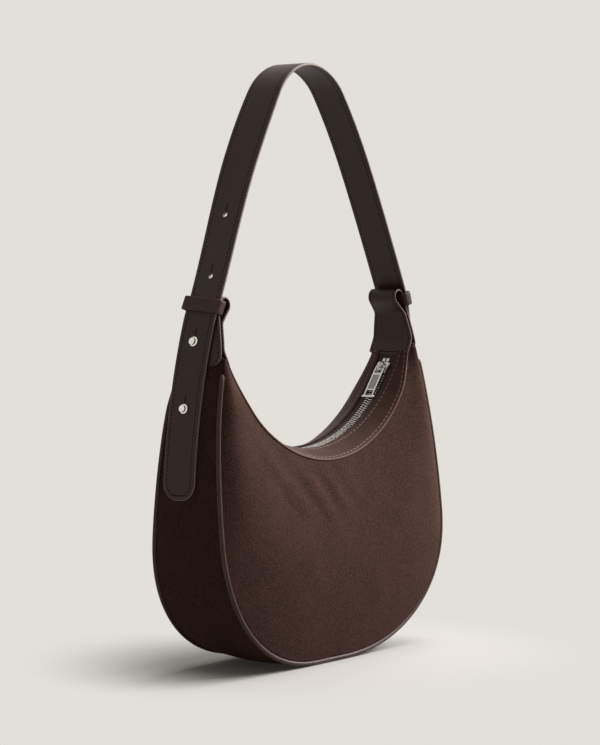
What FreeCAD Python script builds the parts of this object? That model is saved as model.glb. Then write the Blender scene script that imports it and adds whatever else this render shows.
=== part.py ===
import FreeCAD, Part
import math
import os
import re
import Sketcher

Vector = FreeCAD.Vector

# Half moon shoulder bag, in millimetres. X runs along the bag's width, -Y is the front, Z is up,
# and the origin is on the floor under the middle of the bag.
SIZES = [
    ("seam_width", 300, "front seam from side to side, at the widest level"),
    ("seam_depth", 74, "front seam to back seam, up to the widest level"),
    ("seam_base", 2.6, "height of the seam along the base"),
    ("belly_height", 118, "widest level, where the sides start to lean in"),
    ("horn_height", 258, "top of the two horns"),
    ("horn_inset", 17, "by which each side leans in between the widest level and the horns"),
    ("horn_taper", 16, "by which the front and the back lean in over the same height"),
    ("horn_tip", 2.5, "width of a panel at the tip of a horn"),
    ("gusset_crown", 3.5, "swell of the gusset past the seams"),
    ("panel_wall", 2, "suede of the front and back panels"),
    ("gusset_wall", 2.2, "suede of the gusset"),
    ("lining_wall", 0.6, "cloth lining"),
    ("seat_gap", 0.3, "room between two sewn or sliding pieces"),
    ("glue_gap", 0.1, "glue between the two plies of the strap"),
    ("piping_dia", 4, "covered cord in the seam"),
    ("piping_drop", 13, "from the top of the horns down to the piping's ends"),
    ("mouth_depth", 81, "from the top of the horns down to the mouth, on top of the facings"),
    ("facing_drop", 5.5, "from the top of the horns down to the facings' ends"),
    ("facing_wall", 1.8, "leather strips along the zip"),
    ("facing_gap", 18, "between the two strips"),
    ("tape_wall", 0.6, "woven zip tape"),
    ("tape_width", 12.7, "one zip tape, from its teeth to its sewn edge"),
    ("tooth_pitch", 2.7, "from one tooth to the next on the same tape"),
    ("tooth_thick", 1.5, "one tooth along the zip"),
    ("tooth_reach", 2.7, "one tooth across the zip"),
    ("tooth_height", 2.6, "one tooth, top to bottom"),
    ("tooth_gap", 1.2, "between the two rows, where the slider's web runs"),
    ("tape_tail", 1.4, "tape past the top stops, at the closed end"),
    ("tape_open_tail", 46, "tape past the teeth, at the open end"),
    ("tab_room", 2.2, "from the tape's ends up to the tabs' inner legs"),
    ("stop_length", 3, "zip stops, along the zip"),
    ("slider_length", 12, "slider, along the zip"),
    ("slider_width", 11, "slider, across the zip"),
    ("slider_plate", 1.6, "slider's top and bottom plates"),
    ("slider_room", 1.35, "between the closed slider and the top stops"),
    ("bail_rise", 4.6, "slider's bail, over its top plate"),
    ("bail_wire", 1.4, "height of the bail's bar"),
    ("bail_width", 2.6, "bail, across the zip"),
    ("pull_length", 33, "pull tab, from its pivot to its end"),
    ("pull_width", 10, "pull tab"),
    ("pull_lip", 13, "wider end of the pull tab"),
    ("pull_wall", 1.6, "pull tab's thickness"),
    ("pull_frame", 2, "rim round the windows in the pull tab"),
    ("pull_bar", 1.8, "round bar of the pull tab, that the bail holds"),
    ("pull_lift_angle", 4, "angle by which the resting pull tab clears the zip"),
    ("strap_width", 31, "shoulder strap"),
    ("strap_ply", 1.3, "each of the strap's two leather plies"),
    ("strap_drop", 236, "from the top of the horns up to the strap's middle line at its top"),
    ("strap_leave_drop", 58, "from the top of the horns down to where the strap leaves the gusset"),
    ("strap_turn_rise", 30, "from the top of the horns up to where the strap bends in over the bag"),
    ("strap_bend_radius", 90, "that bend"),
    ("strap_top_radius", 55, "bend over the top of the strap"),
    ("strap_bow_angle", 4, "turn of the strap's slightly bowed sides"),
    ("tail_drop", 110, "from the top of the horns down to the end of the strap's tails"),
    ("tail_round", 13, "rounded corners of the tails"),
    ("hole_pitch", 54.5, "from one strap hole to the next"),
    ("tail_length", 70, "from the lowest strap hole to the end of the tail"),
    ("stud_head", 7.5, "stud's domed head"),
    ("stud_rise", 3.4, "stud's head over the strap"),
    ("stud_post", 4, "stud's post"),
    ("stud_edge", 0.8, "straight rim under the dome"),
    ("screw_head", 9, "flat screw that holds the stud from inside"),
    ("screw_wall", 1.2, "thickness of that screw's head"),
    ("tab_wall", 1.8, "leather of the horn tabs"),
    ("tab_width", 29, "horn tab at its loop"),
    ("tab_foot_width", 36, "horn tab at its lower ends"),
    ("tab_foot_drop", 4, "from the top of the horns down to the tab's outer end"),
    ("tab_inner_drop", 9, "from the top of the horns down to the tab's inner end"),
    ("tab_part_rise", 9, "from the top of the horns up to where the tab's inner leg turns to the zip"),
    ("tab_part_radius", 10, "that turn"),
    ("tab_shoulder_rise", 6, "from the top of the horns up to where the tab starts to narrow"),
    ("tab_round", 6, "rounded corners of the tab's lower ends"),
    ("loop_radius", 5.5, "loop at the top of a horn tab"),
    ("loop_close_angle", 35, "angle at which the loop closes towards its neck"),
    ("neck_radius", 8, "bend at the neck under the loop"),
    ("keeper_height", 12, "keeper band, along the strap"),
    ("keeper_wall", 1.8, "keeper band's leather"),
    ("keeper_rise", 39, "from the top of the horns up to the middle of the keeper band"),
    ("keeper_slack", 0.5, "room between the keeper and what it holds"),
]

doc = FreeCAD.newDocument("half_moon_bag")
sheet = doc.addObject("Spreadsheet::Sheet", "sizes")
for row, (alias, number, note) in enumerate(SIZES, start=1):
    sheet.set(f"A{row}", note)
    sheet.set(f"B{row}", str(number))
    sheet.setAlias(f"B{row}", alias)
doc.recompute()
ALIASES = {alias for alias, number, note in SIZES}


def bound(text):
    """The same formula with every size written as a cell of the sheet."""
    return re.sub(r"[a-z_]+", lambda word: f"sizes.{word[0]}" if word[0] in ALIASES else word[0], text)


def value(text):
    """What a formula of sizes comes to."""
    return float(sheet.evalExpression(bound(text)))


def bind(item, **formulas):
    """Tie properties of a document object to formulas of the sheet's sizes."""
    for name, text in formulas.items():
        item.setExpression(name, bound(text))
    return item


# Curves that several pieces share, as formulas of the sizes.
CORNER_RADIUS = "(belly_height - seam_base)"
BASE_HALF = f"(seam_width / 2 - {CORNER_RADIUS})"
LEAN_HEIGHT = "(horn_height - belly_height)"
HORN_X = "(seam_width / 2 - horn_inset)"
HORN_Y = "(seam_depth / 2 - horn_taper)"
SIDE_RADIUS = f"((horn_inset^2 + {LEAN_HEIGHT}^2) / (2 * horn_inset))"
DEPTH_RADIUS = f"((horn_taper^2 + {LEAN_HEIGHT}^2) / (2 * horn_taper))"
CROWN_RADIUS = "((seam_depth^2 / 4 + gusset_crown^2) / (2 * gusset_crown))"
HORN_CROWN = f"({CROWN_RADIUS} - sqrt({CROWN_RADIUS}^2 - {HORN_Y}^2))"
BACK_DROP = f"(horn_inset + gusset_crown - {HORN_CROWN})"
BACK_RADIUS = f"(({BACK_DROP}^2 + {LEAN_HEIGHT}^2) / (2 * {BACK_DROP}))"
SEAM_INSET = "(piping_dia / 2 + seat_gap)"
TIP_X = f"({HORN_X} - {SEAM_INSET} - horn_tip)"
MOUTH_RISE = "(mouth_depth + facing_wall + seat_gap)"
TAPE_TOP = f"(({TIP_X}^2 + {MOUTH_RISE}^2) / (2 * {MOUTH_RISE}))"
MOUTH_RADIUS = f"({TAPE_TOP} - facing_wall - seat_gap)"
MOUTH_CENTRE = f"(horn_height - mouth_depth + {MOUTH_RADIUS})"
TEETH_TOP = f"({TAPE_TOP} + tape_wall / 2 - tooth_height / 2)"
TEETH_LOW = f"({TAPE_TOP} + tape_wall / 2 + tooth_height / 2)"
TEETH_EDGE = "(tooth_gap / 2 + tooth_reach)"
SLIDER_TOP = f"({TEETH_TOP} - seat_gap - slider_plate)"
PIVOT_RADIUS = f"({SLIDER_TOP} - (bail_rise - bail_wire) / 2)"
STRAP_WALL = "(2 * strap_ply + glue_gap)"
STRAP_APEX = "(horn_height + strap_drop)"
STRAP_TURN = "(horn_height + strap_turn_rise)"
TAIL_HEIGHT = "(horn_height - tail_drop)"
TAB_INNER_FOOT = "(horn_height - tab_inner_drop)"

FRONT_PLANE = FreeCAD.Placement(Vector(0, 0, 0), FreeCAD.Rotation(Vector(1, 0, 0), 90))
SIDE_PLANE = FreeCAD.Placement(Vector(0, 0, 0), FreeCAD.Rotation(0.5, 0.5, 0.5, 0.5))


def trace(sketch, start, steps):
    """Closed outline in a sketch. Corners are pairs of formulas; a step is (corner) for a line, or
    (corner, radius, side) for an arc whose centre lies left (1) or right (-1) of the way to go."""
    corners = [start] + [step[0] for step in steps]
    ends = []
    for (first, last), step in zip(zip(corners, corners[1:]), steps):
        begin = Vector(value(first[0]), value(first[1]), 0)
        finish = Vector(value(last[0]), value(last[1]), 0)
        if len(step) == 1:
            ends.append((sketch.addGeometry(Part.LineSegment(begin, finish)), 1, 2))
            continue
        radius, side = value(step[1]), step[2]
        chord = finish - begin
        rise = math.sqrt(radius**2 - (chord.Length / 2) ** 2)
        centre = begin + chord * 0.5 + Vector(-chord.y, chord.x, 0).normalize() * rise * side
        angles = [math.atan2(p.y - centre.y, p.x - centre.x) for p in (begin, finish)]
        if side < 0:
            angles.reverse()
        arc = Part.ArcOfCircle(Part.Circle(centre, Vector(0, 0, 1), radius), *angles)
        ends.append((sketch.addGeometry(arc), 1, 2) if side > 0 else (sketch.addGeometry(arc), 2, 1))
    for (edge, head, tail), (following, next_head, next_tail) in zip(ends, ends[1:] + ends[:1]):
        sketch.addConstraint(Sketcher.Constraint("Coincident", edge, tail, following, next_head))
    for (edge, head, tail), corner in zip(ends, corners):
        for kind, axis, text in (("DistanceX", -2, corner[0]), ("DistanceY", -1, corner[1])):
            if text == "0":
                sketch.addConstraint(Sketcher.Constraint("PointOnObject", edge, head, axis))
                continue
            row = sketch.addConstraint(Sketcher.Constraint(kind, edge, head, value(text)))
            sketch.setExpression(f"Constraints[{row}]", bound(text))
    for (edge, head, tail), step in zip(ends, steps):
        if len(step) > 1:
            row = sketch.addConstraint(Sketcher.Constraint("Radius", edge, value(step[1])))
            sketch.setExpression(f"Constraints[{row}]", bound(step[1]))
    return sketch


def plane_sketch(name, plane, start, steps):
    """A closed outline on the front plane (X, Z) or the side plane (Y, Z)."""
    sketch = doc.addObject("Sketcher::SketchObject", name)
    sketch.Placement = plane
    return trace(sketch, start, steps)


def rectangle(left, low, right, high):
    """Outline of a rectangle, as a start corner and its four steps."""
    return (left, low), [((right, low),), ((right, high),), ((left, high),), ((left, low),)]


def extrude(name, base, direction, length):
    """A solid drawn out to both sides of an outline's plane."""
    solid = doc.addObject("Part::Extrusion", name)
    solid.Base = base
    solid.DirMode = "Custom"
    solid.Dir = Vector(*direction)
    solid.Symmetric = True
    solid.Solid = True
    return bind(solid, LengthFwd=length)


def combine(kind, name, base, tool):
    """Part::Common or Part::Cut of two objects."""
    result = doc.addObject(kind, name)
    result.Base = base
    result.Tool = tool
    return result


def mirror(name, source, normal):
    """The same piece on the other side of the bag's middle plane."""
    result = doc.addObject("Part::Mirroring", name)
    result.Source = source
    result.Base = Vector(0, 0, 0)
    result.Normal = Vector(*normal)
    return result


def loose(name, shape):
    """A document object for a shape that is worked out here from the sheet's sizes."""
    item = doc.addObject("Part::Feature", name)
    item.Shape = shape
    return item


NODES = []


def node(item, label):
    """Name a finished sub-part; the name is also its file's name."""
    item.Label = label
    NODES.append(item)
    return item


def depth_slab(name, shift):
    """The space between the front and the back of the bag, with both moved out by shift. It ends at
    the floor and at the top of the horns."""
    low, high = f"seam_depth / 2 + {shift}", f"{HORN_Y} + {shift}"
    steps = [
        ((low, "0"),),
        ((low, "belly_height"),),
        ((high, "horn_height"), DEPTH_RADIUS, 1),
        ((f"-({high})", "horn_height"),),
        ((f"-({low})", "belly_height"), DEPTH_RADIUS, 1),
        ((f"-({low})", "0"),),
    ]
    outline = plane_sketch(f"{name}_outline", SIDE_PLANE, (f"-({low})", "0"), steps)
    return extrude(name, outline, (1, 0, 0), "2 * seam_width")


# Front and back panels, and the lining behind them: flat crescents that lean in towards the mouth.
def crescent(name, inner_shift, outer_shift, inset, edge_radius):
    """One leaning sheet at the front, between two depths, cut to the crescent outline."""
    low, high = "-(seam_depth / 2 + {})", f"-({HORN_Y} + {{}})"
    band = [
        ((low.format(inner_shift), "0"),),
        ((low.format(inner_shift), "belly_height"),),
        ((high.format(inner_shift), "horn_height"), DEPTH_RADIUS, -1),
        ((high.format(outer_shift), "horn_height"),),
        ((low.format(outer_shift), "belly_height"), DEPTH_RADIUS, 1),
        ((low.format(outer_shift), "0"),),
    ]
    band_outline = plane_sketch(f"{name}_band_outline", SIDE_PLANE, (low.format(outer_shift), "0"), band)
    side, tip = f"seam_width / 2 - {inset}", f"{HORN_X} - {inset}"
    base = f"seam_base + {inset}"
    corner = f"{CORNER_RADIUS} - {inset}"
    mouth_x = f"sqrt(({edge_radius})^2 - ({MOUTH_CENTRE} - horn_height)^2)"
    moon = [
        ((BASE_HALF, base),),
        ((side, "belly_height"), corner, 1),
        ((tip, "horn_height"), SIDE_RADIUS, 1),
        ((mouth_x, "horn_height"),),
        ((f"-{mouth_x}", "horn_height"), edge_radius, -1),
        ((f"-({tip})", "horn_height"),),
        ((f"-({side})", "belly_height"), SIDE_RADIUS, 1),
        ((f"-{BASE_HALF}", base), corner, 1),
    ]
    moon_outline = plane_sketch(f"{name}_outline", FRONT_PLANE, (f"-{BASE_HALF}", base), moon)
    band_solid = extrude(f"{name}_band", band_outline, (1, 0, 0), "2 * seam_width")
    moon_solid = extrude(f"{name}_moon", moon_outline, (0, 1, 0), "2 * seam_depth")
    return combine("Part::Common", name, band_solid, moon_solid)


LINING_BACK = "-(panel_wall / 2 + seat_gap + lining_wall)"
LINING_FACE = "-(panel_wall / 2 + seat_gap)"
LINING_EDGE = f"({TAPE_TOP} + tape_wall + seat_gap)"
front_panel = crescent("panel", "-panel_wall / 2", "panel_wall / 2", SEAM_INSET, TAPE_TOP)
lining_front = crescent("lining", LINING_BACK, LINING_FACE, SEAM_INSET, LINING_EDGE)
node(front_panel, "front_panel")
node(mirror("panel_mirror", front_panel, (0, 1, 0)), "back_panel")
node(lining_front, "lining_front")
node(mirror("lining_mirror", lining_front, (0, 1, 0)), "lining_back")


# Gusset and its lining: a crowned band swept round the base and up both sides into the horns.
def upright_arc(x_low, x_high, y_low, y_high, top):
    """Arc that leaves the widest level straight up and leans to a higher point."""
    start = Vector(x_low, y_low, value("belly_height"))
    finish = Vector(x_high, y_high, top)
    lean = Vector(finish.x - start.x, finish.y - start.y, 0)
    radius = (lean.Length**2 + (finish.z - start.z) ** 2) / (2 * lean.Length)
    half_turn = math.atan2(lean.Length, finish.z - start.z)
    inward = lean.normalize()
    across = radius * (1 - math.cos(half_turn))
    middle = start + inward * across + Vector(0, 0, radius * math.sin(half_turn))
    return Part.Arc(start, middle, finish).toShape()


def seam_edges(shift, depth, horn_x, horn_y, top):
    """Seam line round the bag, moved out by shift: right side, right corner, base and the mirror."""
    x_side = value("seam_width / 2") + shift
    base_half, base = value(BASE_HALF), value("seam_base") - shift
    level = value("belly_height")
    reach = (value(CORNER_RADIUS) + shift) * math.sqrt(0.5)
    edges = [Part.LineSegment(Vector(-base_half, depth, base), Vector(base_half, depth, base)).toShape()]
    for hand in (1, -1):
        corner_start = Vector(hand * base_half, depth, base)
        corner_middle = Vector(hand * (base_half + reach), depth, level - reach)
        corner_end = Vector(hand * x_side, depth, level)
        edges.append(Part.Arc(corner_start, corner_middle, corner_end).toShape())
        edges.append(upright_arc(hand * x_side, hand * horn_x, depth, horn_y, top))
    return Part.Wire(Part.__sortEdges__(edges))


def carried(section, path):
    """Solid of a face that is carried along a path: drawn out along each line of it, and turned about
    the axis of each arc."""
    solids = []
    points = [vertex.Point for vertex in path.OrderedVertexes]
    for edge, begin, finish in zip(path.OrderedEdges, points, points[1:]):
        if isinstance(edge.Curve, Part.Line):
            solids.append(section.extrude(finish - begin))
            section = section.translated(finish - begin)
            continue
        centre, axis = edge.Curve.Center, edge.Curve.Axis
        first, last = begin - centre, finish - centre
        angle = math.degrees(math.atan2(axis.dot(first.cross(last)), first.dot(last)))
        solids.append(section.revolve(centre, axis, angle))
        section = section.rotated(centre, axis, angle)
    return solids[0].multiFuse(solids[1:]).removeSplitter()


def crowned_band(name, inward, wall, trim):
    """Swept crowned band, its outer face moved inward from the gusset's, trimmed to the bag's depth."""
    crown, horn_top = value("gusset_crown"), value("horn_height")
    horn_x = value(f"{HORN_X} + {HORN_CROWN}")
    path = seam_edges(crown, 0, horn_x, 0, horn_top)
    if path.OrderedVertexes[0].Point.x < 0:
        start_hand = -1
    else:
        start_hand = 1
    lean = math.asin(value(f"{LEAN_HEIGHT} / {BACK_RADIUS}"))
    outward = Vector(start_hand * math.cos(lean), 0, math.sin(lean))
    start = Vector(start_hand * horn_x, 0, horn_top)
    half = value("seam_depth / 2")
    radius = value(CROWN_RADIUS)

    def across(y, offset):
        drop = radius - math.sqrt((radius - offset) ** 2 - y**2)
        return start + Vector(0, y, 0) - outward * drop

    faces = [inward, inward + wall]
    arcs = [Part.Arc(across(-half, f), across(0, f), across(half, f)).toShape() for f in faces]
    sides = [Part.LineSegment(across(y, faces[0]), across(y, faces[1])).toShape() for y in (-half, half)]
    section = Part.Face(Part.Wire(Part.__sortEdges__(arcs + sides)))
    band = loose(f"{name}_band", carried(section, path))
    return combine("Part::Common", name, band, depth_slab(f"{name}_slab", trim))


gusset_shell = crowned_band("gusset_shell", 0, value("gusset_wall"), f"(-{SEAM_INSET})")
lining_inward = value("gusset_wall + seat_gap")
lining_trim = "(-(panel_wall / 2 + 2 * seat_gap + lining_wall))"
lining_shell = crowned_band("lining_shell", lining_inward, value("lining_wall"), lining_trim)


# Piping: a covered cord in each seam, from under one tab round the base to under the other.
def seam_x(level):
    """Half width of the seam at a level above the widest one."""
    rise = level - value("belly_height")
    return value("seam_width / 2") - value(SIDE_RADIUS) + math.sqrt(value(SIDE_RADIUS) ** 2 - rise**2)


def seam_y(level):
    """Half depth of the seam at a level above the widest one."""
    rise = level - value("belly_height")
    return value("seam_depth / 2") - value(DEPTH_RADIUS) + math.sqrt(value(DEPTH_RADIUS) ** 2 - rise**2)


piping_top = value("horn_height - piping_drop")
piping_path = seam_edges(0, -value("seam_depth / 2"), seam_x(piping_top), -seam_y(piping_top), piping_top)
piping_start = piping_path.OrderedVertexes[0].Point
piping_centre = piping_path.OrderedEdges[0].Curve.Center
piping_axis = piping_path.OrderedEdges[0].Curve.Axis
piping_way = (piping_start - piping_centre).cross(piping_axis)
piping_ring = Part.Circle(piping_start, piping_way, value("piping_dia / 2")).toShape()
front_piping = loose("piping", carried(Part.Face(Part.Wire(piping_ring)), piping_path))
node(front_piping, "front_piping")
node(mirror("piping_mirror", front_piping, (0, 1, 0)), "back_piping")


# Zip: everything on it turns about one line across the bag, the centre of the mouth's curve.
def swing(name, start, steps, angle):
    """A cross-section on the side plane, turned evenly to both sides about the mouth's centre."""
    outline = plane_sketch(f"{name}_outline", SIDE_PLANE, start, steps)
    solid = doc.addObject("Part::Revolution", name)
    solid.Source = outline
    solid.Axis = Vector(0, 1, 0)
    solid.Symmetric = True
    solid.Solid = True
    return bind(solid, Angle=angle, **{"Base.z": MOUTH_CENTRE})


def at_zip(item, angle):
    """Move a piece from the lowest point of the mouth to an angle along the zip, right positive."""
    turn = FreeCAD.Rotation(Vector(0, 1, 0), -angle)
    item.Placement = FreeCAD.Placement(Vector(0, 0, 0), turn, Vector(0, 0, value(MOUTH_CENTRE)))
    return item


def along(length):
    """Angle, in degrees, that a length along the zip takes up."""
    return f"(180 / pi * ({length}) / {TAPE_TOP})"


def radial(radius):
    """Height of a radius of the mouth at its lowest point."""
    return f"{MOUTH_CENTRE} - ({radius})"


FACING_END = f"(acos(({MOUTH_CENTRE} - horn_height + facing_drop) / {MOUTH_RADIUS}) / 1 deg)"
TAPE_END = f"(acos(({MOUTH_CENTRE} - {TAB_INNER_FOOT} + tab_room) / {TAPE_TOP}) / 1 deg)"
TEETH_CLOSED = f"({TAPE_END} - {along('tape_tail + stop_length')})"
TEETH_OPEN = f"({TAPE_END} - {along('tape_open_tail')})"
SLIDER_REST = f"({TEETH_CLOSED} - {along('slider_room + slider_length / 2')})"
facing_low = radial(f"{MOUTH_RADIUS} + facing_wall")
facing_box = rectangle("-seam_depth", facing_low, "-facing_gap / 2", radial(MOUTH_RADIUS))
facing_arc = swing("facing_arc", *facing_box, f"2 * {FACING_END}")
facing_slab = depth_slab("facing_slab", "panel_wall / 2")
facing = combine("Part::Common", "facing", facing_arc, facing_slab)
node(facing, "zip_facing_front")
node(mirror("facing_mirror", facing, (0, 1, 0)), "zip_facing_back")

tape_low = radial(f"{TAPE_TOP} + tape_wall")
tape_box = rectangle(f"-({TEETH_EDGE} + tape_width)", tape_low, f"-{TEETH_EDGE}", radial(TAPE_TOP))
tape = swing("tape", *tape_box, f"2 * {TAPE_END}")
node(tape, "zip_tape_front")
node(mirror("tape_mirror", tape, (0, 1, 0)), "zip_tape_back")


def teeth(side):
    """Row of teeth on one tape. A tooth is narrow at the tape and wide at its head, and the rows
    stand half a pitch apart so that the heads of one face the gaps of the other."""
    thick, reach = value("tooth_thick"), value("tooth_reach")
    head_y = side * value("tooth_gap / 2")
    neck_y = side * (value("tooth_gap / 2") + reach / 2)
    root_y = side * value(TEETH_EDGE)
    low, top = value(radial(TEETH_LOW)), value(radial(TEETH_TOP))
    half = [(thick / 2, head_y), (thick / 2, neck_y), (thick / 3, root_y)]
    outline = half + [(-x, y) for x, y in reversed(half)]
    points = [Vector(x, y, low) for x, y in outline]
    tooth = Part.Face(Part.makePolygon(points + points[:1])).extrude(Vector(0, 0, top - low))
    axis = Vector(0, 0, value(MOUTH_CENTRE))
    step = value(along("tooth_pitch"))
    span = value(f"{TEETH_OPEN} + {TEETH_CLOSED}")
    first = -value(TEETH_OPEN) + (step / 2 if side > 0 else 0)
    row = []
    for i in range(int((span - step / 2) / step)):
        row.append(tooth.copy().rotate(axis, Vector(0, 1, 0), -(first + i * step)))
    return Part.makeCompound(row)


node(loose("teeth_front", teeth(-1)), "zip_teeth_front")
node(loose("teeth_back", teeth(1)), "zip_teeth_back")

# Stops: a crimped clip on each tape at the closed end, and one over both tapes at the open end.
STOP_ANGLE = along("stop_length")
STOP_LOW, STOP_TOP = radial(TEETH_LOW), radial(TEETH_TOP)
top_box = rectangle(f"-{TEETH_EDGE}", STOP_LOW, "-tooth_gap / 2", STOP_TOP)
top_stop = at_zip(swing("top_stop", *top_box, STOP_ANGLE), value(f"{TEETH_CLOSED} + {STOP_ANGLE} / 2"))
other_stop = mirror("top_stop_mirror", top_stop, (0, 1, 0))
stops = doc.addObject("Part::Compound", "top_stops")
stops.Links = [top_stop, other_stop]
node(stops, "zip_top_stops")
bottom_box = rectangle(f"-{TEETH_EDGE}", STOP_LOW, TEETH_EDGE, STOP_TOP)
bottom_stop = at_zip(swing("bottom_stop", *bottom_box, STOP_ANGLE), -value(f"{TEETH_OPEN} + {STOP_ANGLE}"))
node(bottom_stop, "zip_bottom_stop")

# Slider: two plates with turned-in edges, joined by a web that runs between the rows of teeth.
LOW_PLATE = f"({TEETH_LOW} + seat_gap)"
LIP_OUT, LIP_IN = "slider_width / 2", f"({TEETH_EDGE} + seat_gap)"
WEB = "(tooth_gap / 2 - seat_gap)"
right_half = [
    (LIP_OUT, radial(SLIDER_TOP)),
    (LIP_OUT, radial(f"{TAPE_TOP} - seat_gap")),
    (LIP_IN, radial(f"{TAPE_TOP} - seat_gap")),
    (LIP_IN, radial(f"{SLIDER_TOP} + slider_plate")),
    (WEB, radial(f"{SLIDER_TOP} + slider_plate")),
    (WEB, radial(LOW_PLATE)),
    (LIP_IN, radial(LOW_PLATE)),
    (LIP_IN, radial(f"{TAPE_TOP} + tape_wall + seat_gap")),
    (LIP_OUT, radial(f"{TAPE_TOP} + tape_wall + seat_gap")),
    (LIP_OUT, radial(f"{LOW_PLATE} + slider_plate")),
]
left_half = [(f"-({y})", z) for y, z in reversed(right_half)]
slider_corners = right_half + left_half
slider_steps = [(corner,) for corner in slider_corners[1:] + slider_corners[:1]]
slider = swing("slider", slider_corners[0], slider_steps, along("slider_length"))
node(at_zip(slider, value(SLIDER_REST)), "zip_slider")


def origin_plane(body, role):
    """One of a body's own origin planes."""
    return next(item for item in body.Origin.OriginFeatures if item.Role == role)


def body_sketch(body, name, role, start, steps):
    """A closed outline on one of a body's origin planes."""
    sketch = body.newObject("Sketcher::SketchObject", name)
    sketch.AttachmentSupport = (origin_plane(body, role), [""])
    sketch.MapMode = "FlatFace"
    return trace(sketch, start, steps)


def pad(body, name, sketch, length):
    """Pad to both sides of its sketch."""
    feature = body.newObject("PartDesign::Pad", name)
    feature.Profile = sketch
    feature.SideType = "Symmetric"
    return bind(feature, Length=length)


def pocket(body, name, sketch):
    """Cut through the whole body, to both sides of its sketch."""
    feature = body.newObject("PartDesign::Pocket", name)
    feature.Profile = sketch
    feature.SideType = "Symmetric"
    feature.Type = "ThroughAll"
    return feature


# Bail: a low arch on the slider's top plate, through which the pull tab's bar passes.
bail = doc.addObject("PartDesign::Body", "bail")
BAIL_FOOT, BAIL_EYE = "slider_length / 2 - slider_plate / 2", "slider_length / 2 - slider_plate / 2 - bail_wire"
BAIL_SEAT = radial(f"sqrt({SLIDER_TOP}^2 - ({BAIL_FOOT})^2)")
BAIL_HIGH = radial(f"{SLIDER_TOP} - bail_rise")
BAIL_KNEE = radial(f"{SLIDER_TOP} - bail_rise / 2")
arch = [
    ((BAIL_FOOT, BAIL_KNEE),),
    (("bail_wire", BAIL_HIGH),),
    (("-bail_wire", BAIL_HIGH),),
    ((f"-({BAIL_FOOT})", BAIL_KNEE),),
    ((f"-({BAIL_FOOT})", BAIL_SEAT),),
    ((f"-({BAIL_EYE})", BAIL_SEAT),),
    ((f"-({BAIL_EYE})", f"{BAIL_KNEE} - bail_wire / 2"),),
    (("-bail_wire", f"{BAIL_HIGH} - bail_wire"),),
    (("bail_wire", f"{BAIL_HIGH} - bail_wire"),),
    ((BAIL_EYE, f"{BAIL_KNEE} - bail_wire / 2"),),
    ((BAIL_EYE, BAIL_SEAT),),
    ((BAIL_FOOT, BAIL_SEAT),),
]
pad(bail, "bail_arch", body_sketch(bail, "bail_outline", "XZ_Plane", (BAIL_FOOT, BAIL_SEAT), arch), "bail_width")
node(at_zip(bail, value(SLIDER_REST)), "zip_bail")

# Pull tab: a flat bar with an eye for the bail, a window near its end and a wider end.
pull = doc.addObject("PartDesign::Body", "pull")
HALF, LIP = "pull_width / 2", "pull_lip / 2"
EYE_END = "(slider_length / 2 + pull_frame)"
HEAD = "(pull_wall / 2)"
blade = [
    (("-(pull_length - 2 * pull_frame)", f"-{HALF}"),),
    (("-(pull_length - pull_frame)", f"-{LIP}"),),
    (("-pull_length", f"-{LIP}"),),
    (("-pull_length", LIP),),
    (("-(pull_length - pull_frame)", LIP),),
    (("-(pull_length - 2 * pull_frame)", HALF),),
    ((HEAD, HALF),),
    ((HEAD, f"-{HALF}"),),
]
blade_outline = body_sketch(pull, "pull_outline", "XY_Plane", (HEAD, f"-{HALF}"), blade)
pad(pull, "pull_blade", blade_outline, "pull_wall")
doc.recompute()
EYE_HALF = f"({HALF} - pull_frame)"
eye_box = rectangle(f"-({EYE_END})", f"-{EYE_HALF}", f"-{HEAD}", EYE_HALF)
pocket(pull, "pull_eye", body_sketch(pull, "pull_eye_outline", "XY_Plane", *eye_box))
WINDOW_FAR, WINDOW_NEAR = "-(pull_length - 2 * pull_frame)", "-(pull_length - 4 * pull_frame)"
window_box = rectangle(WINDOW_FAR, f"-{EYE_HALF}", WINDOW_NEAR, EYE_HALF)
pocket(pull, "pull_window", body_sketch(pull, "pull_window_outline", "XY_Plane", *window_box))
bar = pull.newObject("PartDesign::AdditiveCylinder", "pull_bar")
bind(bar, Radius="pull_bar / 2", Height="pull_width")
bar.AttachmentSupport = (origin_plane(pull, "XZ_Plane"), [""])
bar.MapMode = "FlatFace"
bind(bar, **{"AttachmentOffset.Base.z": "-pull_width / 2"})
doc.recompute()
pull_lift = FreeCAD.Rotation(Vector(0, 1, 0), value("pull_lift_angle"))
pull_seat = FreeCAD.Placement(Vector(0, 0, value(radial(PIVOT_RADIUS))), pull_lift)
zip_turn = FreeCAD.Rotation(Vector(0, 1, 0), -value(SLIDER_REST))
zip_place = FreeCAD.Placement(Vector(0, 0, 0), zip_turn, Vector(0, 0, value(MOUTH_CENTRE)))
pull.Placement = zip_place.multiply(pull_seat)
node(pull, "zip_pull")


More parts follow.
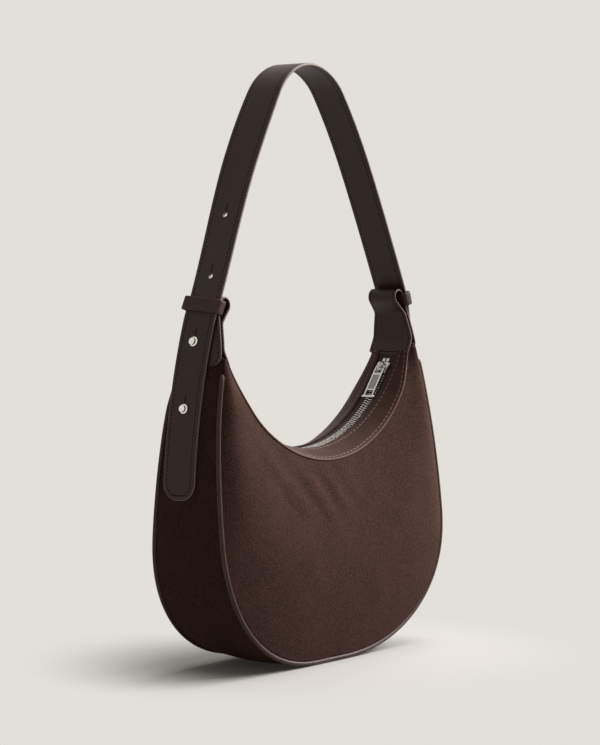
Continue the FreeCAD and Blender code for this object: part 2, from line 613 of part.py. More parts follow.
# Strap: one leather strip, two plies thick, from the end of one tail over the top to the other.
class Trail:
    """A path on the front plane that is walked in straight runs and bends, and can be copied at any
    distance to its left."""

    def __init__(self, x, z, heading):
        self.steps = []
        self.start = (x, z, heading)
        self.x, self.z, self.heading = x, z, heading

    def run(self, length):
        self.steps.append((length, 0))
        self.x += length * math.cos(math.radians(self.heading))
        self.z += length * math.sin(math.radians(self.heading))

    def bend(self, radius, turn):
        self.steps.append((radius, turn))
        self.x, self.z, self.heading = self.after_bend(self.x, self.z, self.heading, radius, turn)

    @staticmethod
    def after_bend(x, z, heading, radius, turn):
        hand = math.copysign(1, turn)
        first, last = math.radians(heading), math.radians(heading + turn)
        x += hand * radius * (math.sin(last) - math.sin(first))
        z += hand * radius * (math.cos(first) - math.cos(last))
        return x, z, heading + turn

    def edges(self, offset):
        """Edges of the path, moved to its left by offset."""
        x, z, heading = self.start
        x -= offset * math.sin(math.radians(heading))
        z += offset * math.cos(math.radians(heading))
        result = []
        for size, turn in self.steps:
            begin = Vector(x, 0, z)
            if turn == 0:
                x += size * math.cos(math.radians(heading))
                z += size * math.sin(math.radians(heading))
                result.append(Part.LineSegment(begin, Vector(x, 0, z)).toShape())
                continue
            radius = size - math.copysign(1, turn) * offset
            middle = self.after_bend(x, z, heading, radius, turn / 2)
            x, z, heading = self.after_bend(x, z, heading, radius, turn)
            result.append(Part.Arc(begin, Vector(middle[0], 0, middle[1]), Vector(x, 0, z)).toShape())
        return result

    def at(self, distance):
        """Place and heading at a distance along the path."""
        x, z, heading = self.start
        for size, turn in self.steps:
            length = abs(math.radians(turn)) * size if turn else size
            part = min(distance, length) / length
            if turn:
                x, z, heading = self.after_bend(x, z, heading, size, turn * part)
            else:
                x += size * part * math.cos(math.radians(heading))
                z += size * part * math.sin(math.radians(heading))
            distance -= length
            if distance <= 0:
                break
        return x, z, heading

    def band(self, near, far):
        """Face between two copies of the path."""
        sides = [self.edges(near), self.edges(far)]
        heads = [Part.LineSegment(sides[0][0].firstVertex(True).Point, sides[1][0].firstVertex(True).Point)]
        heads.append(Part.LineSegment(sides[0][-1].lastVertex(True).Point, sides[1][-1].lastVertex(True).Point))
        edges = sides[0] + sides[1] + [cap.toShape() for cap in heads]
        return Part.Face(Part.Wire(Part.__sortEdges__(edges)))


strap_half = value(STRAP_WALL) / 2
back_radius = value(BACK_RADIUS)
back_centre = value("seam_width / 2 + gusset_crown") - back_radius
tail_radius = back_radius + value("seat_gap") + strap_half
tail_lean = math.degrees(math.asin(value(f"{TAIL_HEIGHT} - belly_height") / tail_radius))
leave_lean = math.degrees(math.asin(value("horn_height - strap_leave_drop - belly_height") / tail_radius))
tail_x = back_centre + tail_radius * math.cos(math.radians(tail_lean))
strap_path = Trail(tail_x, value(TAIL_HEIGHT), 90 + tail_lean)
strap_path.bend(tail_radius, leave_lean - tail_lean)
strap_path.run(value("strap_turn_rise + strap_leave_drop") / math.cos(math.radians(leave_lean)))
turn_x, turn_z = strap_path.x, strap_path.z
bend_radius, top_radius = value("strap_bend_radius"), value("strap_top_radius")
apex, bow = value(STRAP_APEX), value("strap_bow_angle")


def bow_ends(lean):
    """Where a bowed side starts and ends, if it leans by an angle above the strap's turn."""
    low_x, low_z, heading = Trail.after_bend(turn_x, turn_z, 90 + leave_lean, bend_radius, lean - leave_lean)
    high = math.radians(lean + bow)
    return low_x, low_z, top_radius * math.cos(high), apex - top_radius * (1 - math.sin(high))


def bow_miss(lean):
    """Distance by which such a side misses the bend over the top."""
    low_x, low_z, high_x, high_z = bow_ends(lean)
    return low_x - high_x - (high_z - low_z) * math.tan(math.radians(lean + bow / 2))


side_lean, steepest = 0, 90 - bow
while steepest - side_lean > 1e-9:
    middle_lean = (side_lean + steepest) / 2
    if bow_miss(middle_lean) > 0:
        side_lean = middle_lean
    else:
        steepest = middle_lean
low_x, low_z, high_x, high_z = bow_ends(side_lean)
bow_chord = math.hypot(low_x - high_x, high_z - low_z)
strap_path.bend(bend_radius, side_lean - leave_lean)
strap_path.bend(bow_chord / (2 * math.sin(math.radians(bow / 2))), bow)
strap_path.bend(top_radius, 90 - side_lean - bow)
strap_path.steps += list(reversed(strap_path.steps))

# Holes in the strap: two for the studs at each end, and spare ones above the left keeper.
STUD_PLACES = [value("tail_length"), value("tail_length + hole_pitch")]
SPARE_PLACES = [value("tail_length + 2 * hole_pitch"), value("tail_length + 3 * hole_pitch")]


def strap_placement(distance, hand):
    """Frame on the strap's middle line: local Z points out of the strap, right (1) or left (-1)."""
    x, z, heading = strap_path.at(distance)
    turn = FreeCAD.Rotation(Vector(0, 1, 0), hand * (180 - heading))
    return FreeCAD.Placement(Vector(hand * x, 0, z), turn)


def hole_bar(distance, hand):
    """Round bar that cuts a hole through everything under the strap at one place."""
    reach = value("screw_head")
    radius = value("stud_post / 2 + seat_gap")
    bar = Part.makeCylinder(radius, 2 * reach, Vector(0, 0, -reach), Vector(0, 0, 1))
    bar.Placement = strap_placement(distance, hand)
    return bar


stud_bars = [hole_bar(place, hand) for hand in (1, -1) for place in STUD_PLACES]
spare_bars = [hole_bar(place, -1) for place in SPARE_PLACES]
stud_holes = loose("stud_holes", Part.makeCompound(stud_bars))
strap_holes = loose("strap_holes", Part.makeCompound(stud_bars + spare_bars))

TAIL_SIDE, TAIL_CORNER = "strap_width / 2", "(strap_width / 2 - tail_round)"
tail_outline = [
    ((TAIL_CORNER, TAIL_HEIGHT),),
    ((TAIL_SIDE, f"{TAIL_HEIGHT} + tail_round"), "tail_round", 1),
    ((TAIL_SIDE, f"{STRAP_APEX} + {STRAP_WALL}"),),
    ((f"-{TAIL_SIDE}", f"{STRAP_APEX} + {STRAP_WALL}"),),
    ((f"-{TAIL_SIDE}", f"{TAIL_HEIGHT} + tail_round"),),
    ((f"-{TAIL_CORNER}", TAIL_HEIGHT), "tail_round", 1),
]
tail_sketch = plane_sketch("tail_outline", SIDE_PLANE, (f"-{TAIL_CORNER}", TAIL_HEIGHT), tail_outline)


def strap_ply(name, near, far):
    """One ply of the strap, with its rounded tails and its holes."""
    face = loose(f"{name}_section", strap_path.band(near, far))
    strip = extrude(f"{name}_strip", face, (0, 1, 0), "strap_width")
    blank = extrude(f"{name}_blank", tail_sketch, (1, 0, 0), "2 * seam_width")
    rounded = combine("Part::Common", f"{name}_rounded", strip, blank)
    return combine("Part::Cut", name, rounded, strap_holes)


ply = value("strap_ply")
node(strap_ply("outer_ply", -strap_half, -strap_half + ply), "strap")
node(strap_ply("inner_ply", strap_half - ply, strap_half), "strap_backing")
node(combine("Part::Cut", "gusset_cut", gusset_shell, stud_holes), "gusset")
node(combine("Part::Cut", "lining_cut", lining_shell, stud_holes), "lining_gusset")

# Horn tabs: one strip each, up the outside of the horn, over in a loop that holds the keeper, and
# down again beside itself to the end of the zip.
tab_wall, gap = value("tab_wall"), value("seat_gap")
tab_inset = strap_half + gap + tab_wall / 2
leg_spacing = tab_wall + value("screw_wall") + 2 * gap
leave_cosine, leave_sine = math.cos(math.radians(leave_lean)), math.sin(math.radians(leave_lean))
inward = Vector(-leave_cosine, 0, -leave_sine)
foot_back = value("strap_turn_rise + tab_foot_drop") / leave_cosine
leg_start = Vector(turn_x, 0, turn_z) + inward * tab_inset - Vector(-leave_sine, 0, leave_cosine) * foot_back
loop_rise = value("keeper_rise + keeper_height / 2 - keeper_wall - strap_turn_rise")
leg_bend = bend_radius - tab_inset
loop_lean = math.degrees(math.asin(leave_sine + loop_rise / leg_bend))
loop_radius, loop_close = value("loop_radius"), value("loop_close_angle")
neck_radius, part_radius = value("neck_radius"), value("tab_part_radius")
tab_path = Trail(leg_start.x, leg_start.z, 90 + leave_lean)
tab_path.run(foot_back)
tab_path.bend(leg_bend, loop_lean - leave_lean)
tab_path.bend(loop_radius, 180 + leave_lean + loop_close - loop_lean)
loop_away = (Vector(tab_path.x, 0, tab_path.z) - leg_start).dot(inward)
close_sine, close_cosine = math.sin(math.radians(loop_close)), math.cos(math.radians(loop_close))
tab_path.run((loop_away - leg_spacing - neck_radius * (1 - close_cosine)) / close_sine)
tab_path.bend(neck_radius, -loop_close)
tab_path.run((tab_path.z - value("horn_height + tab_part_rise")) / leave_cosine)
tab_path.bend(part_radius, value(f"180 + {FACING_END}") - tab_path.heading)
tab_path.run((value(TAB_INNER_FOOT) - tab_path.z) / math.sin(math.radians(tab_path.heading)))

FOOT, NECK = "tab_foot_width / 2", "tab_width / 2"
FOOT_CORNER, FOOT_RISE = "(tab_foot_width / 2 - tab_round)", f"{TAB_INNER_FOOT} + tab_round"
tab_outline = [
    ((FOOT_CORNER, TAB_INNER_FOOT),),
    ((FOOT, FOOT_RISE), "tab_round", 1),
    ((FOOT, "horn_height + tab_shoulder_rise"),),
    ((NECK, STRAP_TURN),),
    ((NECK, STRAP_APEX),),
    ((f"-{NECK}", STRAP_APEX),),
    ((f"-{NECK}", STRAP_TURN),),
    ((f"-{FOOT}", "horn_height + tab_shoulder_rise"),),
    ((f"-{FOOT}", FOOT_RISE),),
    ((f"-{FOOT_CORNER}", TAB_INNER_FOOT), "tab_round", 1),
]
tab_sketch = plane_sketch("tab_outline", SIDE_PLANE, (f"-{FOOT_CORNER}", TAB_INNER_FOOT), tab_outline)
tab_section = loose("tab_section", tab_path.band(-tab_wall / 2, tab_wall / 2))
tab_strip = extrude("tab_strip", tab_section, (0, 1, 0), "tab_foot_width")
tab_blank = extrude("tab_blank", tab_sketch, (1, 0, 0), "2 * seam_width")
tab_shape = combine("Part::Common", "tab_shape", tab_strip, tab_blank)
upper_reach = strap_half + gap + tab_wall + gap + value("screw_wall")
outer_bar = loose("tab_hole", Part.makeCylinder(value("stud_post / 2") + gap, upper_reach))
outer_bar.Placement = strap_placement(STUD_PLACES[1], 1).multiply(
    FreeCAD.Placement(Vector(0, 0, -upper_reach), FreeCAD.Rotation())
)
right_tab = combine("Part::Cut", "tab", tab_shape, outer_bar)
node(right_tab, "right_tab")
node(mirror("tab_mirror", right_tab, (1, 0, 0)), "left_tab")

# Keepers: a closed leather band round the strap and the outer leg of each tab.
keeper = doc.addObject("PartDesign::Body", "keeper")
HOLD_OUT = f"({STRAP_WALL} / 2 + keeper_slack)"
HOLD_IN = f"({STRAP_WALL} / 2 + seat_gap + tab_wall + keeper_slack)"
HOLD_SIDE = "(strap_width / 2 + keeper_slack)"
RIM_OUT, RIM_IN = f"({HOLD_OUT} + keeper_wall)", f"({HOLD_IN} + keeper_wall)"
RIM_SIDE = f"({HOLD_SIDE} + keeper_wall)"
rim = [
    ((HOLD_OUT, f"-{RIM_SIDE}"),),
    ((RIM_OUT, f"-{HOLD_SIDE}"), "keeper_wall", 1),
    ((RIM_OUT, HOLD_SIDE),),
    ((HOLD_OUT, RIM_SIDE), "keeper_wall", 1),
    ((f"-{HOLD_IN}", RIM_SIDE),),
    ((f"-{RIM_IN}", HOLD_SIDE), "keeper_wall", 1),
    ((f"-{RIM_IN}", f"-{HOLD_SIDE}"),),
    ((f"-{HOLD_IN}", f"-{RIM_SIDE}"), "keeper_wall", 1),
]
rim_sketch = body_sketch(keeper, "keeper_rim", "XY_Plane", (f"-{HOLD_IN}", f"-{RIM_SIDE}"), rim)
pad(keeper, "keeper_band", rim_sketch, "keeper_height")
doc.recompute()
hold_box = rectangle(f"-{HOLD_IN}", f"-{HOLD_SIDE}", HOLD_OUT, HOLD_SIDE)
pocket(keeper, "keeper_hold", body_sketch(keeper, "keeper_hold_outline", "XY_Plane", *hold_box))
keeper_turn = math.degrees(math.asin(leave_sine + value("keeper_rise - strap_turn_rise") / bend_radius))
keeper_x, keeper_z, keeper_heading = Trail.after_bend(
    turn_x, turn_z, 90 + leave_lean, bend_radius, keeper_turn - leave_lean
)
keeper_lean = FreeCAD.Rotation(Vector(0, 1, 0), 90 - keeper_heading)
keeper.Placement = FreeCAD.Placement(Vector(keeper_x, 0, keeper_z), keeper_lean)
node(keeper, "right_keeper")
node(mirror("keeper_mirror", keeper, (1, 0, 0)), "left_keeper")


# Studs: domed heads on posts, that the strap's holes button over, each held by a flat screw.
def stud_body(name, reach):
    """Revolved stud; local Z is its axis and the strap's middle line is at zero."""
    body = doc.addObject("PartDesign::Body", name)
    seat = f"({STRAP_WALL} / 2 + seat_gap)"
    dome = "(stud_rise - stud_edge)"
    dome_radius = f"((stud_head^2 / 4 + {dome}^2) / (2 * {dome}))"
    profile = [
        (("stud_post / 2", f"-({reach})"),),
        (("stud_post / 2", seat),),
        (("stud_head / 2", seat),),
        (("stud_head / 2", f"{seat} + stud_edge"),),
        (("0", f"{seat} + stud_rise"), dome_radius, 1),
        (("0", f"-({reach})"),),
    ]
    sketch = body_sketch(body, f"{name}_profile", "XZ_Plane", ("0", f"-({reach})"), profile)
    turned = body.newObject("PartDesign::Revolution", f"{name}_turned")
    turned.Profile = sketch
    turned.ReferenceAxis = (sketch, ["V_Axis"])
    turned.Angle = 360
    return body


def lining_depth(place):
    """From the strap's middle line in to the lining's inner face, along a stud."""
    x, z, heading = strap_path.at(place)
    away = Vector(x - back_centre, 0, z - value("belly_height"))
    way = Vector(math.sin(math.radians(heading)), 0, -math.cos(math.radians(heading)))
    inner = back_radius - value("gusset_wall + seat_gap + lining_wall")
    return away.dot(way) - math.sqrt(away.dot(way) ** 2 - away.Length**2 + inner**2)


lower_reach = lining_depth(STUD_PLACES[0]) + gap + value("screw_wall")
studs = [stud_body("lower_stud", str(lower_reach)), stud_body("upper_stud", str(upper_reach))]
doc.recompute()


def placed(shape, place, hand):
    """Copy of a shape in the strap's frame at one place."""
    copy = shape.copy()
    copy.Placement = strap_placement(place, hand)
    return copy


def screw(reach):
    """Flat disc round the inner end of a stud's post."""
    disc = Part.makeCylinder(value("screw_head / 2"), value("screw_wall"), Vector(0, 0, -reach))
    bore = Part.makeCylinder(value("stud_post / 2 + glue_gap"), value("screw_wall"), Vector(0, 0, -reach))
    return disc.cut(bore)


spots = [(i, hand) for hand in (1, -1) for i in (0, 1)]
screws = [screw(lower_reach), screw(upper_reach)]
stud_group = [placed(studs[i].Shape, STUD_PLACES[i], hand) for i, hand in spots]
screw_group = [placed(screws[i], STUD_PLACES[i], hand) for i, hand in spots]
node(loose("stud_group", Part.makeCompound(stud_group)), "strap_studs")
node(loose("screw_group", Part.makeCompound(screw_group)), "stud_screws")

doc.recompute()
for item in doc.Objects:
    if "Invalid" in item.State or "Error" in item.State:
        raise RuntimeError(f"{item.Label} did not build")
for item in NODES:
    if item.Shape.isNull() or not item.Shape.isValid() or not item.Shape.Solids:
        raise RuntimeError(f"{item.Label} has no valid solid")

os.makedirs("parts", exist_ok=True)
for item in NODES:
    item.Shape.exportStep(f"parts/{item.Label}.step")
    box = item.Shape.BoundBox
    print(f"{item.Label}: {len(item.Shape.Solids)} solids, {item.Shape.Volume:.0f} mm3, "
          f"x {box.XMin:.1f}..{box.XMax:.1f}, y {box.YMin:.1f}..{box.YMax:.1f}, z {box.ZMin:.1f}..{box.ZMax:.1f}")
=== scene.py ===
import bmesh
import bpy
import numpy as np
from mathutils import Matrix


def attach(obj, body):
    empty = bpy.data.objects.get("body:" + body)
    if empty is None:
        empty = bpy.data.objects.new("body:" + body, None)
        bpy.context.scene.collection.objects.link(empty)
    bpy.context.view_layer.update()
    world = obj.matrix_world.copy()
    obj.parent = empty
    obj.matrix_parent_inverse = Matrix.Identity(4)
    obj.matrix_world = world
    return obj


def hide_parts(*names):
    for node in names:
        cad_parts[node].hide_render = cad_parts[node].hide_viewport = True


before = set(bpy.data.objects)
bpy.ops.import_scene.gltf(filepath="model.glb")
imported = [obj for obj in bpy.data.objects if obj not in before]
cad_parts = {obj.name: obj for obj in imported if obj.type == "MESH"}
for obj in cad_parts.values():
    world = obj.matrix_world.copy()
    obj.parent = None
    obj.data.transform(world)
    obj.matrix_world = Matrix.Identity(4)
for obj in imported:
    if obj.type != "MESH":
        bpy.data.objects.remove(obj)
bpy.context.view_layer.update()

# Camera: a long lens a little above the middle of the bag, in front of it and to its left, and
# turned by less than a degree about its own axis.
VIEW_AZIMUTH, VIEW_ELEVATION, VIEW_ROLL = np.radians([51.9, 3.07, -0.75])
VIEW_TARGET = np.array([-0.0021, 0, 0.2397])
VIEW_DISTANCE = 2.242
FOCAL_PIXELS, FRAME_PIXELS = 2666.0, 745
SENSOR = 36.0


def added(name, data):
    """New object of the scene, with its camera, lamp or mesh."""
    made = bpy.data.objects.new(name, data)
    bpy.context.collection.objects.link(made)
    return made


def aimed(place, right, up, back):
    """World matrix at a place, with X to the right, Y up and Z to the back."""
    axes = np.stack([right, up, back], axis=1)
    return Matrix.Translation(place) @ Matrix(axes.tolist()).to_4x4()


view_back = np.array(
    [
        -np.sin(VIEW_AZIMUTH) * np.cos(VIEW_ELEVATION),
        -np.cos(VIEW_AZIMUTH) * np.cos(VIEW_ELEVATION),
        np.sin(VIEW_ELEVATION),
    ]
)
level_right = np.array([np.cos(VIEW_AZIMUTH), -np.sin(VIEW_AZIMUTH), 0])
level_up = np.cross(view_back, level_right)
view_right = level_right * np.cos(VIEW_ROLL) + level_up * np.sin(VIEW_ROLL)
view_up = level_up * np.cos(VIEW_ROLL) - level_right * np.sin(VIEW_ROLL)
camera_data = bpy.data.cameras.new("camera")
camera_data.sensor_width = SENSOR
camera_data.lens = FOCAL_PIXELS * SENSOR / FRAME_PIXELS
camera = added("camera", camera_data)
camera.matrix_world = aimed(VIEW_TARGET + VIEW_DISTANCE * view_back, view_right, view_up, view_back)
bpy.context.scene.camera = camera
bpy.context.scene.view_settings.view_transform = "Standard"


# Floor, backdrop and light: a pale warm grey sweep without a horizon, a large soft lamp overhead, one
# in front and to the right, and a weak glow from all round.
class Field:
    """A node's output that varies over a surface; Python's operators on it add Math nodes."""

    def __init__(self, tree, socket):
        self.tree = tree
        self.socket = socket

    def node(self, kind, settings, inputs, output=0):
        """Add a node: its settings first, then a number, colour or link on each named socket."""
        made = self.tree.nodes.new(kind)
        for name, setting in settings.items():
            setattr(made, name, setting)
        for key, given in inputs.items():
            if isinstance(given, Field):
                self.tree.links.new(given.socket, made.inputs[key])
            else:
                made.inputs[key].default_value = given
        return Field(self.tree, made.outputs[output])

    def math(self, operation, *others):
        """Math node with this as its first operand."""
        operands = dict(enumerate((self,) + others))
        return self.node("ShaderNodeMath", {"operation": operation}, operands)

    def reflected(self, operation, other):
        """Math node with this as its second operand."""
        return self.node("ShaderNodeMath", {"operation": operation}, {0: other, 1: self})

    def __add__(self, other):
        return self.math("ADD", other)

    def __radd__(self, other):
        return self.reflected("ADD", other)

    def __sub__(self, other):
        return self.math("SUBTRACT", other)

    def __rsub__(self, other):
        return self.reflected("SUBTRACT", other)

    def __mul__(self, other):
        return self.math("MULTIPLY", other)

    def __rmul__(self, other):
        return self.reflected("MULTIPLY", other)

    def __truediv__(self, other):
        return self.math("DIVIDE", other)

    def __rtruediv__(self, other):
        return self.reflected("DIVIDE", other)

    def step(self, start, end):
        """0 up to start, 1 past end, and smooth in between."""
        bounds = {0: self, 1: start, 2: end, 3: 0.0, 4: 1.0}
        return self.node("ShaderNodeMapRange", {"interpolation_type": "SMOOTHSTEP"}, bounds)

    def blend(self, first, second):
        """Colour that is first where this is 0 and second where it is 1."""
        return self.node("ShaderNodeMix", {"data_type": "RGBA"}, {0: self, 6: first, 7: second}, 2)

    def into(self, shader, socket):
        """Link this to a socket."""
        self.tree.links.new(self.socket, shader.inputs[socket])


def colour(red, green, blue):
    """Linear colour of an sRGB colour given from 0 to 255."""
    shade = np.array([red, green, blue]) / 255
    linear = np.where(shade > 0.04045, ((shade + 0.055) / 1.055) ** 2.4, shade / 12.92)
    return (*linear.tolist(), 1.0)


def finish_of(name, settings):
    """New material with settings on its shader's sockets: itself, its shader and a Field that is its
    Object coordinates, in metres."""
    made = bpy.data.materials.new(name)
    made.use_nodes = True
    shader = made.node_tree.nodes["Principled BSDF"]
    for socket, setting in settings.items():
        shader.inputs[socket].default_value = setting
    place = made.node_tree.nodes.new("ShaderNodeTexCoord").outputs["Object"]
    return made, shader, Field(made.node_tree, place)


def sight_of(tree):
    """1 on rays that bring what the camera sees, straight or by way of metal or glass, else 0."""
    rays = tree.nodes.new("ShaderNodeLightPath")
    kinds = ("Is Camera Ray", "Is Glossy Ray", "Is Transmission Ray")
    straight, mirrored, passed = [Field(tree, rays.outputs[kind]) for kind in kinds]
    return straight + mirrored + passed


def unit(vectors):
    """Each vector over its length."""
    return vectors / np.linalg.norm(vectors, axis=-1, keepdims=True)


def joined(*parts):
    """Points, or other rows of numbers, from an array for each of their numbers."""
    return np.stack(np.broadcast_arrays(*parts), axis=-1)


def full_turn(count):
    """A count of angles in equal steps all the way round."""
    return np.linspace(0, 2 * np.pi, count + 1)[:-1]


BACKDROP = colour(227, 224, 217)
FLOOR_RADIUS, FLOOR_SIDES = 6.0, 96
FADE_START, FADE_END, FLOOR_GLOW = 0.1, 0.25, 0.02
FLOOR_BOUNCE, MATT = colour(110, 108, 104), {"Roughness": 1.0, "Specular IOR Level": 0.0}
GLOW = 0.19
LAMP_AIM, LAMP_SIDE = np.array([0.0, 0.0, 0.15]), np.array([0.0, 1.0, 0.2])
LAMPS = {
    "overhead": (np.array([0.9, -0.1, 2.1]), 1.2, 20.0),
    "front_right": (np.array([2.05, -1.15, 1.45]), 1.8, 94.0),
}

world = bpy.data.worlds.new("studio")
world.use_nodes = True
bpy.context.scene.world = world
sky = world.node_tree.nodes["Background"]
sky.inputs["Color"].default_value = BACKDROP
(GLOW + (1 - GLOW) * sight_of(world.node_tree)).into(sky, "Strength")

floor_turn = full_turn(FLOOR_SIDES)
floor_rim = FLOOR_RADIUS * joined(np.cos(floor_turn), np.sin(floor_turn), 0)
floor_mesh = bpy.data.meshes.new("floor")
floor_mesh.from_pydata(floor_rim.tolist(), [], [list(range(FLOOR_SIDES))])
floor_paint, floor_shader, floor_root = finish_of("floor_paint", MATT)
floor_tree = floor_paint.node_tree
floor_shade = sight_of(floor_tree).blend(FLOOR_BOUNCE, BACKDROP)
floor_shade.into(floor_shader, "Base Color")
away = floor_root.node("ShaderNodeVectorMath", {"operation": "LENGTH"}, {0: floor_root}, "Value")
far_floor = floor_root.node("ShaderNodeEmission", {}, {"Color": floor_shade})
floor_lit = Field(floor_tree, floor_shader.outputs[0])
fade = FLOOR_GLOW + (1 - FLOOR_GLOW) * away.step(FADE_START, FADE_END)
floor_mix = floor_root.node("ShaderNodeMixShader", {}, {0: fade, 1: floor_lit, 2: far_floor})
floor_mix.into(floor_tree.nodes["Material Output"], "Surface")
floor_mesh.materials.append(floor_paint)
floor = added("floor", floor_mesh)

for name, (place, size, watts) in LAMPS.items():
    lamp_data = bpy.data.lights.new(name, "AREA")
    lamp_data.size = size
    lamp_data.energy = watts
    lamp = added(name, lamp_data)
    lamp_back = unit(place - LAMP_AIM)
    lamp_right = unit(np.cross(LAMP_SIDE, lamp_back))
    lamp.matrix_world = aimed(place, lamp_right, np.cross(lamp_back, lamp_right), lamp_back)

# Front and back panels: two crescents of thin suede, cut to the same pattern. Each is sewn into the
# piped seam round its lower edge and under the facing of the mouth, and swells softly in between.
MM = 0.001
SEAM_HALF, SEAM_BASE, BELLY = 149.9, 2.4, 115.3
LEFT_BASE, RIGHT_BASE, CORNER_POWER = 34.0, 2.0, 0.92
HORN_TOP, HORN_INSET, SEAM_SPARE = 258.0, 18.1, 8.0
CORNER_STEPS, LEAN_STEPS = 400, 300
BASE_DEPTH, LEAN_START, LEAN_SLOPE, LEAN_SOFT = 39.4, 71.6, 0.087, 30.0
CLOSE_START, CLOSE_DEPTH, BACK_LEAN = 214.0, 5.0, 3.0
PANEL_TOP, GUSSET_TOP, LEFT_LEAN, LEFT_LEAN_START, SEAM_LEAN = 257.0, 259.0, 4.0, 195.0, 0.4
BASE_LIFT, BASE_LIFT_TOP = 4.0, 70.0
SEAM_INSET, PANEL_WALL = 0.8, 2.0
PANEL_SWELL, PANEL_SWELL_WIDTH = 13.0, 60.0
MOUTH_RADIUS, MOUTH_CENTRE, PANEL_EDGE_RADIUS = 138.34, 315.34, 139.6
ROOF_MIDDLE, ROOF_END, ROOF_ANGLE = 8.5, 1.0, np.radians(62.0)
PANEL_ROWS, PANEL_COLUMNS = 181, 65
FOLD_RISE, FOLD_SPACING, FOLD_MIDDLE, FOLD_SPREAD = 0.6, 24.0, -36.0, 60.0
FOLD_START, FOLD_WAY, FOLD_WANDER = 0.66, (0.82, 0.57), 23.0
SLACK_RISE, SLACK_ALONG, SLACK_UP = 0.5, 31.0, 23.0
CLOUD_SIZE, MOTTLE_SIZE, SPECKLE_SIZE = 30.0, 6.0, 1.4
CLOUD_BAND, MOTTLE_BAND, SPECKLE_BAND = (0.3, 0.72), (0.35, 0.65), (0.38, 0.62)
CLOUD_SHARE, SPECKLE_SHARE, SUEDE_BUMP = 0.7, 0.55, (0.35, 0.4)
NAP = {"Roughness": 0.95, "Specular IOR Level": 0.12, "Sheen Weight": 0.25, "Sheen Roughness": 0.6}
SUEDE, SUEDE_DARK, SUEDE_LIGHT = colour(76, 53, 46), colour(58, 40, 34), colour(99, 71, 62)


def surface(name, points, marks, finish, loop=False):
    """Mesh on a grid of points, (rows, columns, 3) or (copies, rows, columns, 3), in millimetres: a
    face joins each point to its next row and column, and the last column to the first. A loop joins
    the last row to the first too; else a face closes each of them. marks is the UV map."""
    points = points.reshape((-1,) + points.shape[-3:])
    copies, rows, columns = points.shape[:3]
    index = np.arange(copies * rows * columns).reshape(copies, rows, columns)
    grid = np.concatenate([index, index[:, :, :1]], axis=2)
    grid = np.concatenate([grid, grid[:, :1]], axis=1) if loop else grid
    corners = [grid[:, :-1, :-1], grid[:, :-1, 1:], grid[:, 1:, 1:], grid[:, 1:, :-1]]
    faces = np.stack(corners, axis=-1).reshape(-1, 4).tolist()
    if not loop:
        faces += index[:, 0, ::-1].tolist() + index[:, -1].tolist()
    mesh = bpy.data.meshes.new(name)
    mesh.from_pydata((points.reshape(-1, 3) * MM).tolist(), [], faces)
    spread = np.broadcast_to(marks, points.shape[:3] + (2,)).reshape(-1, 2)
    corner = np.empty(len(mesh.loops), dtype=np.int32)
    mesh.loops.foreach_get("vertex_index", corner)
    mesh.uv_layers.new(name="marks").uv.foreach_set("vector", spread[corner].ravel().astype(np.float32))
    shape = bmesh.new()
    shape.from_mesh(mesh)
    bmesh.ops.recalc_face_normals(shape, faces=shape.faces)
    shape.to_mesh(mesh)
    shape.free()
    mesh.polygons.foreach_set("use_smooth", np.ones(len(mesh.polygons), dtype=bool))
    mesh.materials.append(finish)
    return added(name, mesh)


def fixed(piece, body, slot, *nodes):
    """The piece rides on a body and stands for CAD nodes, which it hides. The slot is not used."""
    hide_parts(*nodes)
    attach(piece, body)


def grain(place, size, detail=2.0):
    """Noise from 0 to 1 with patches of about a size in millimetres."""
    sockets = {"Vector": place, "Scale": 1 / (size * MM), "Detail": detail}
    return place.node("ShaderNodeTexNoise", {}, sockets, "Fac")


def embossed(shader, height, strength, depth):
    """Bump on a finish, where a height of 1 stands out by a depth in millimetres."""
    sockets = {"Height": height, "Strength": strength, "Distance": depth * MM}
    height.node("ShaderNodeBump", {}, sockets, "Normal").into(shader, "Normal")


def suede_finish(name, dark, brown, light):
    """Brushed suede: large and small clouds where the nap lies differently, and a fine speckle."""
    made, shader, place = finish_of(name, {**NAP, "Sheen Tint": light})
    clouds = grain(place, CLOUD_SIZE, 4.0).step(*CLOUD_BAND)
    mottles = grain(place, MOTTLE_SIZE).step(*MOTTLE_BAND)
    speckle = grain(place, SPECKLE_SIZE, 3.0).step(*SPECKLE_BAND)
    brushed = (clouds * CLOUD_SHARE + mottles * (1 - CLOUD_SHARE)).blend(dark, brown)
    (speckle * SPECKLE_SHARE).blend(brushed, light).into(shader, "Base Color")
    embossed(shader, speckle, *SUEDE_BUMP)
    return made


def run_of(line):
    """Distance walked along a line of points, from its first one."""
    return np.concatenate([[0], np.cumsum(np.linalg.norm(np.diff(line, axis=0), axis=1))])


def eased(value, start, end):
    """0 up to start and 1 past end; at a share s of the way between, s * s * (3 - 2 * s)."""
    share = np.clip((value - start) / (end - start), 0, 1)
    return share**2 * (3 - 2 * share)


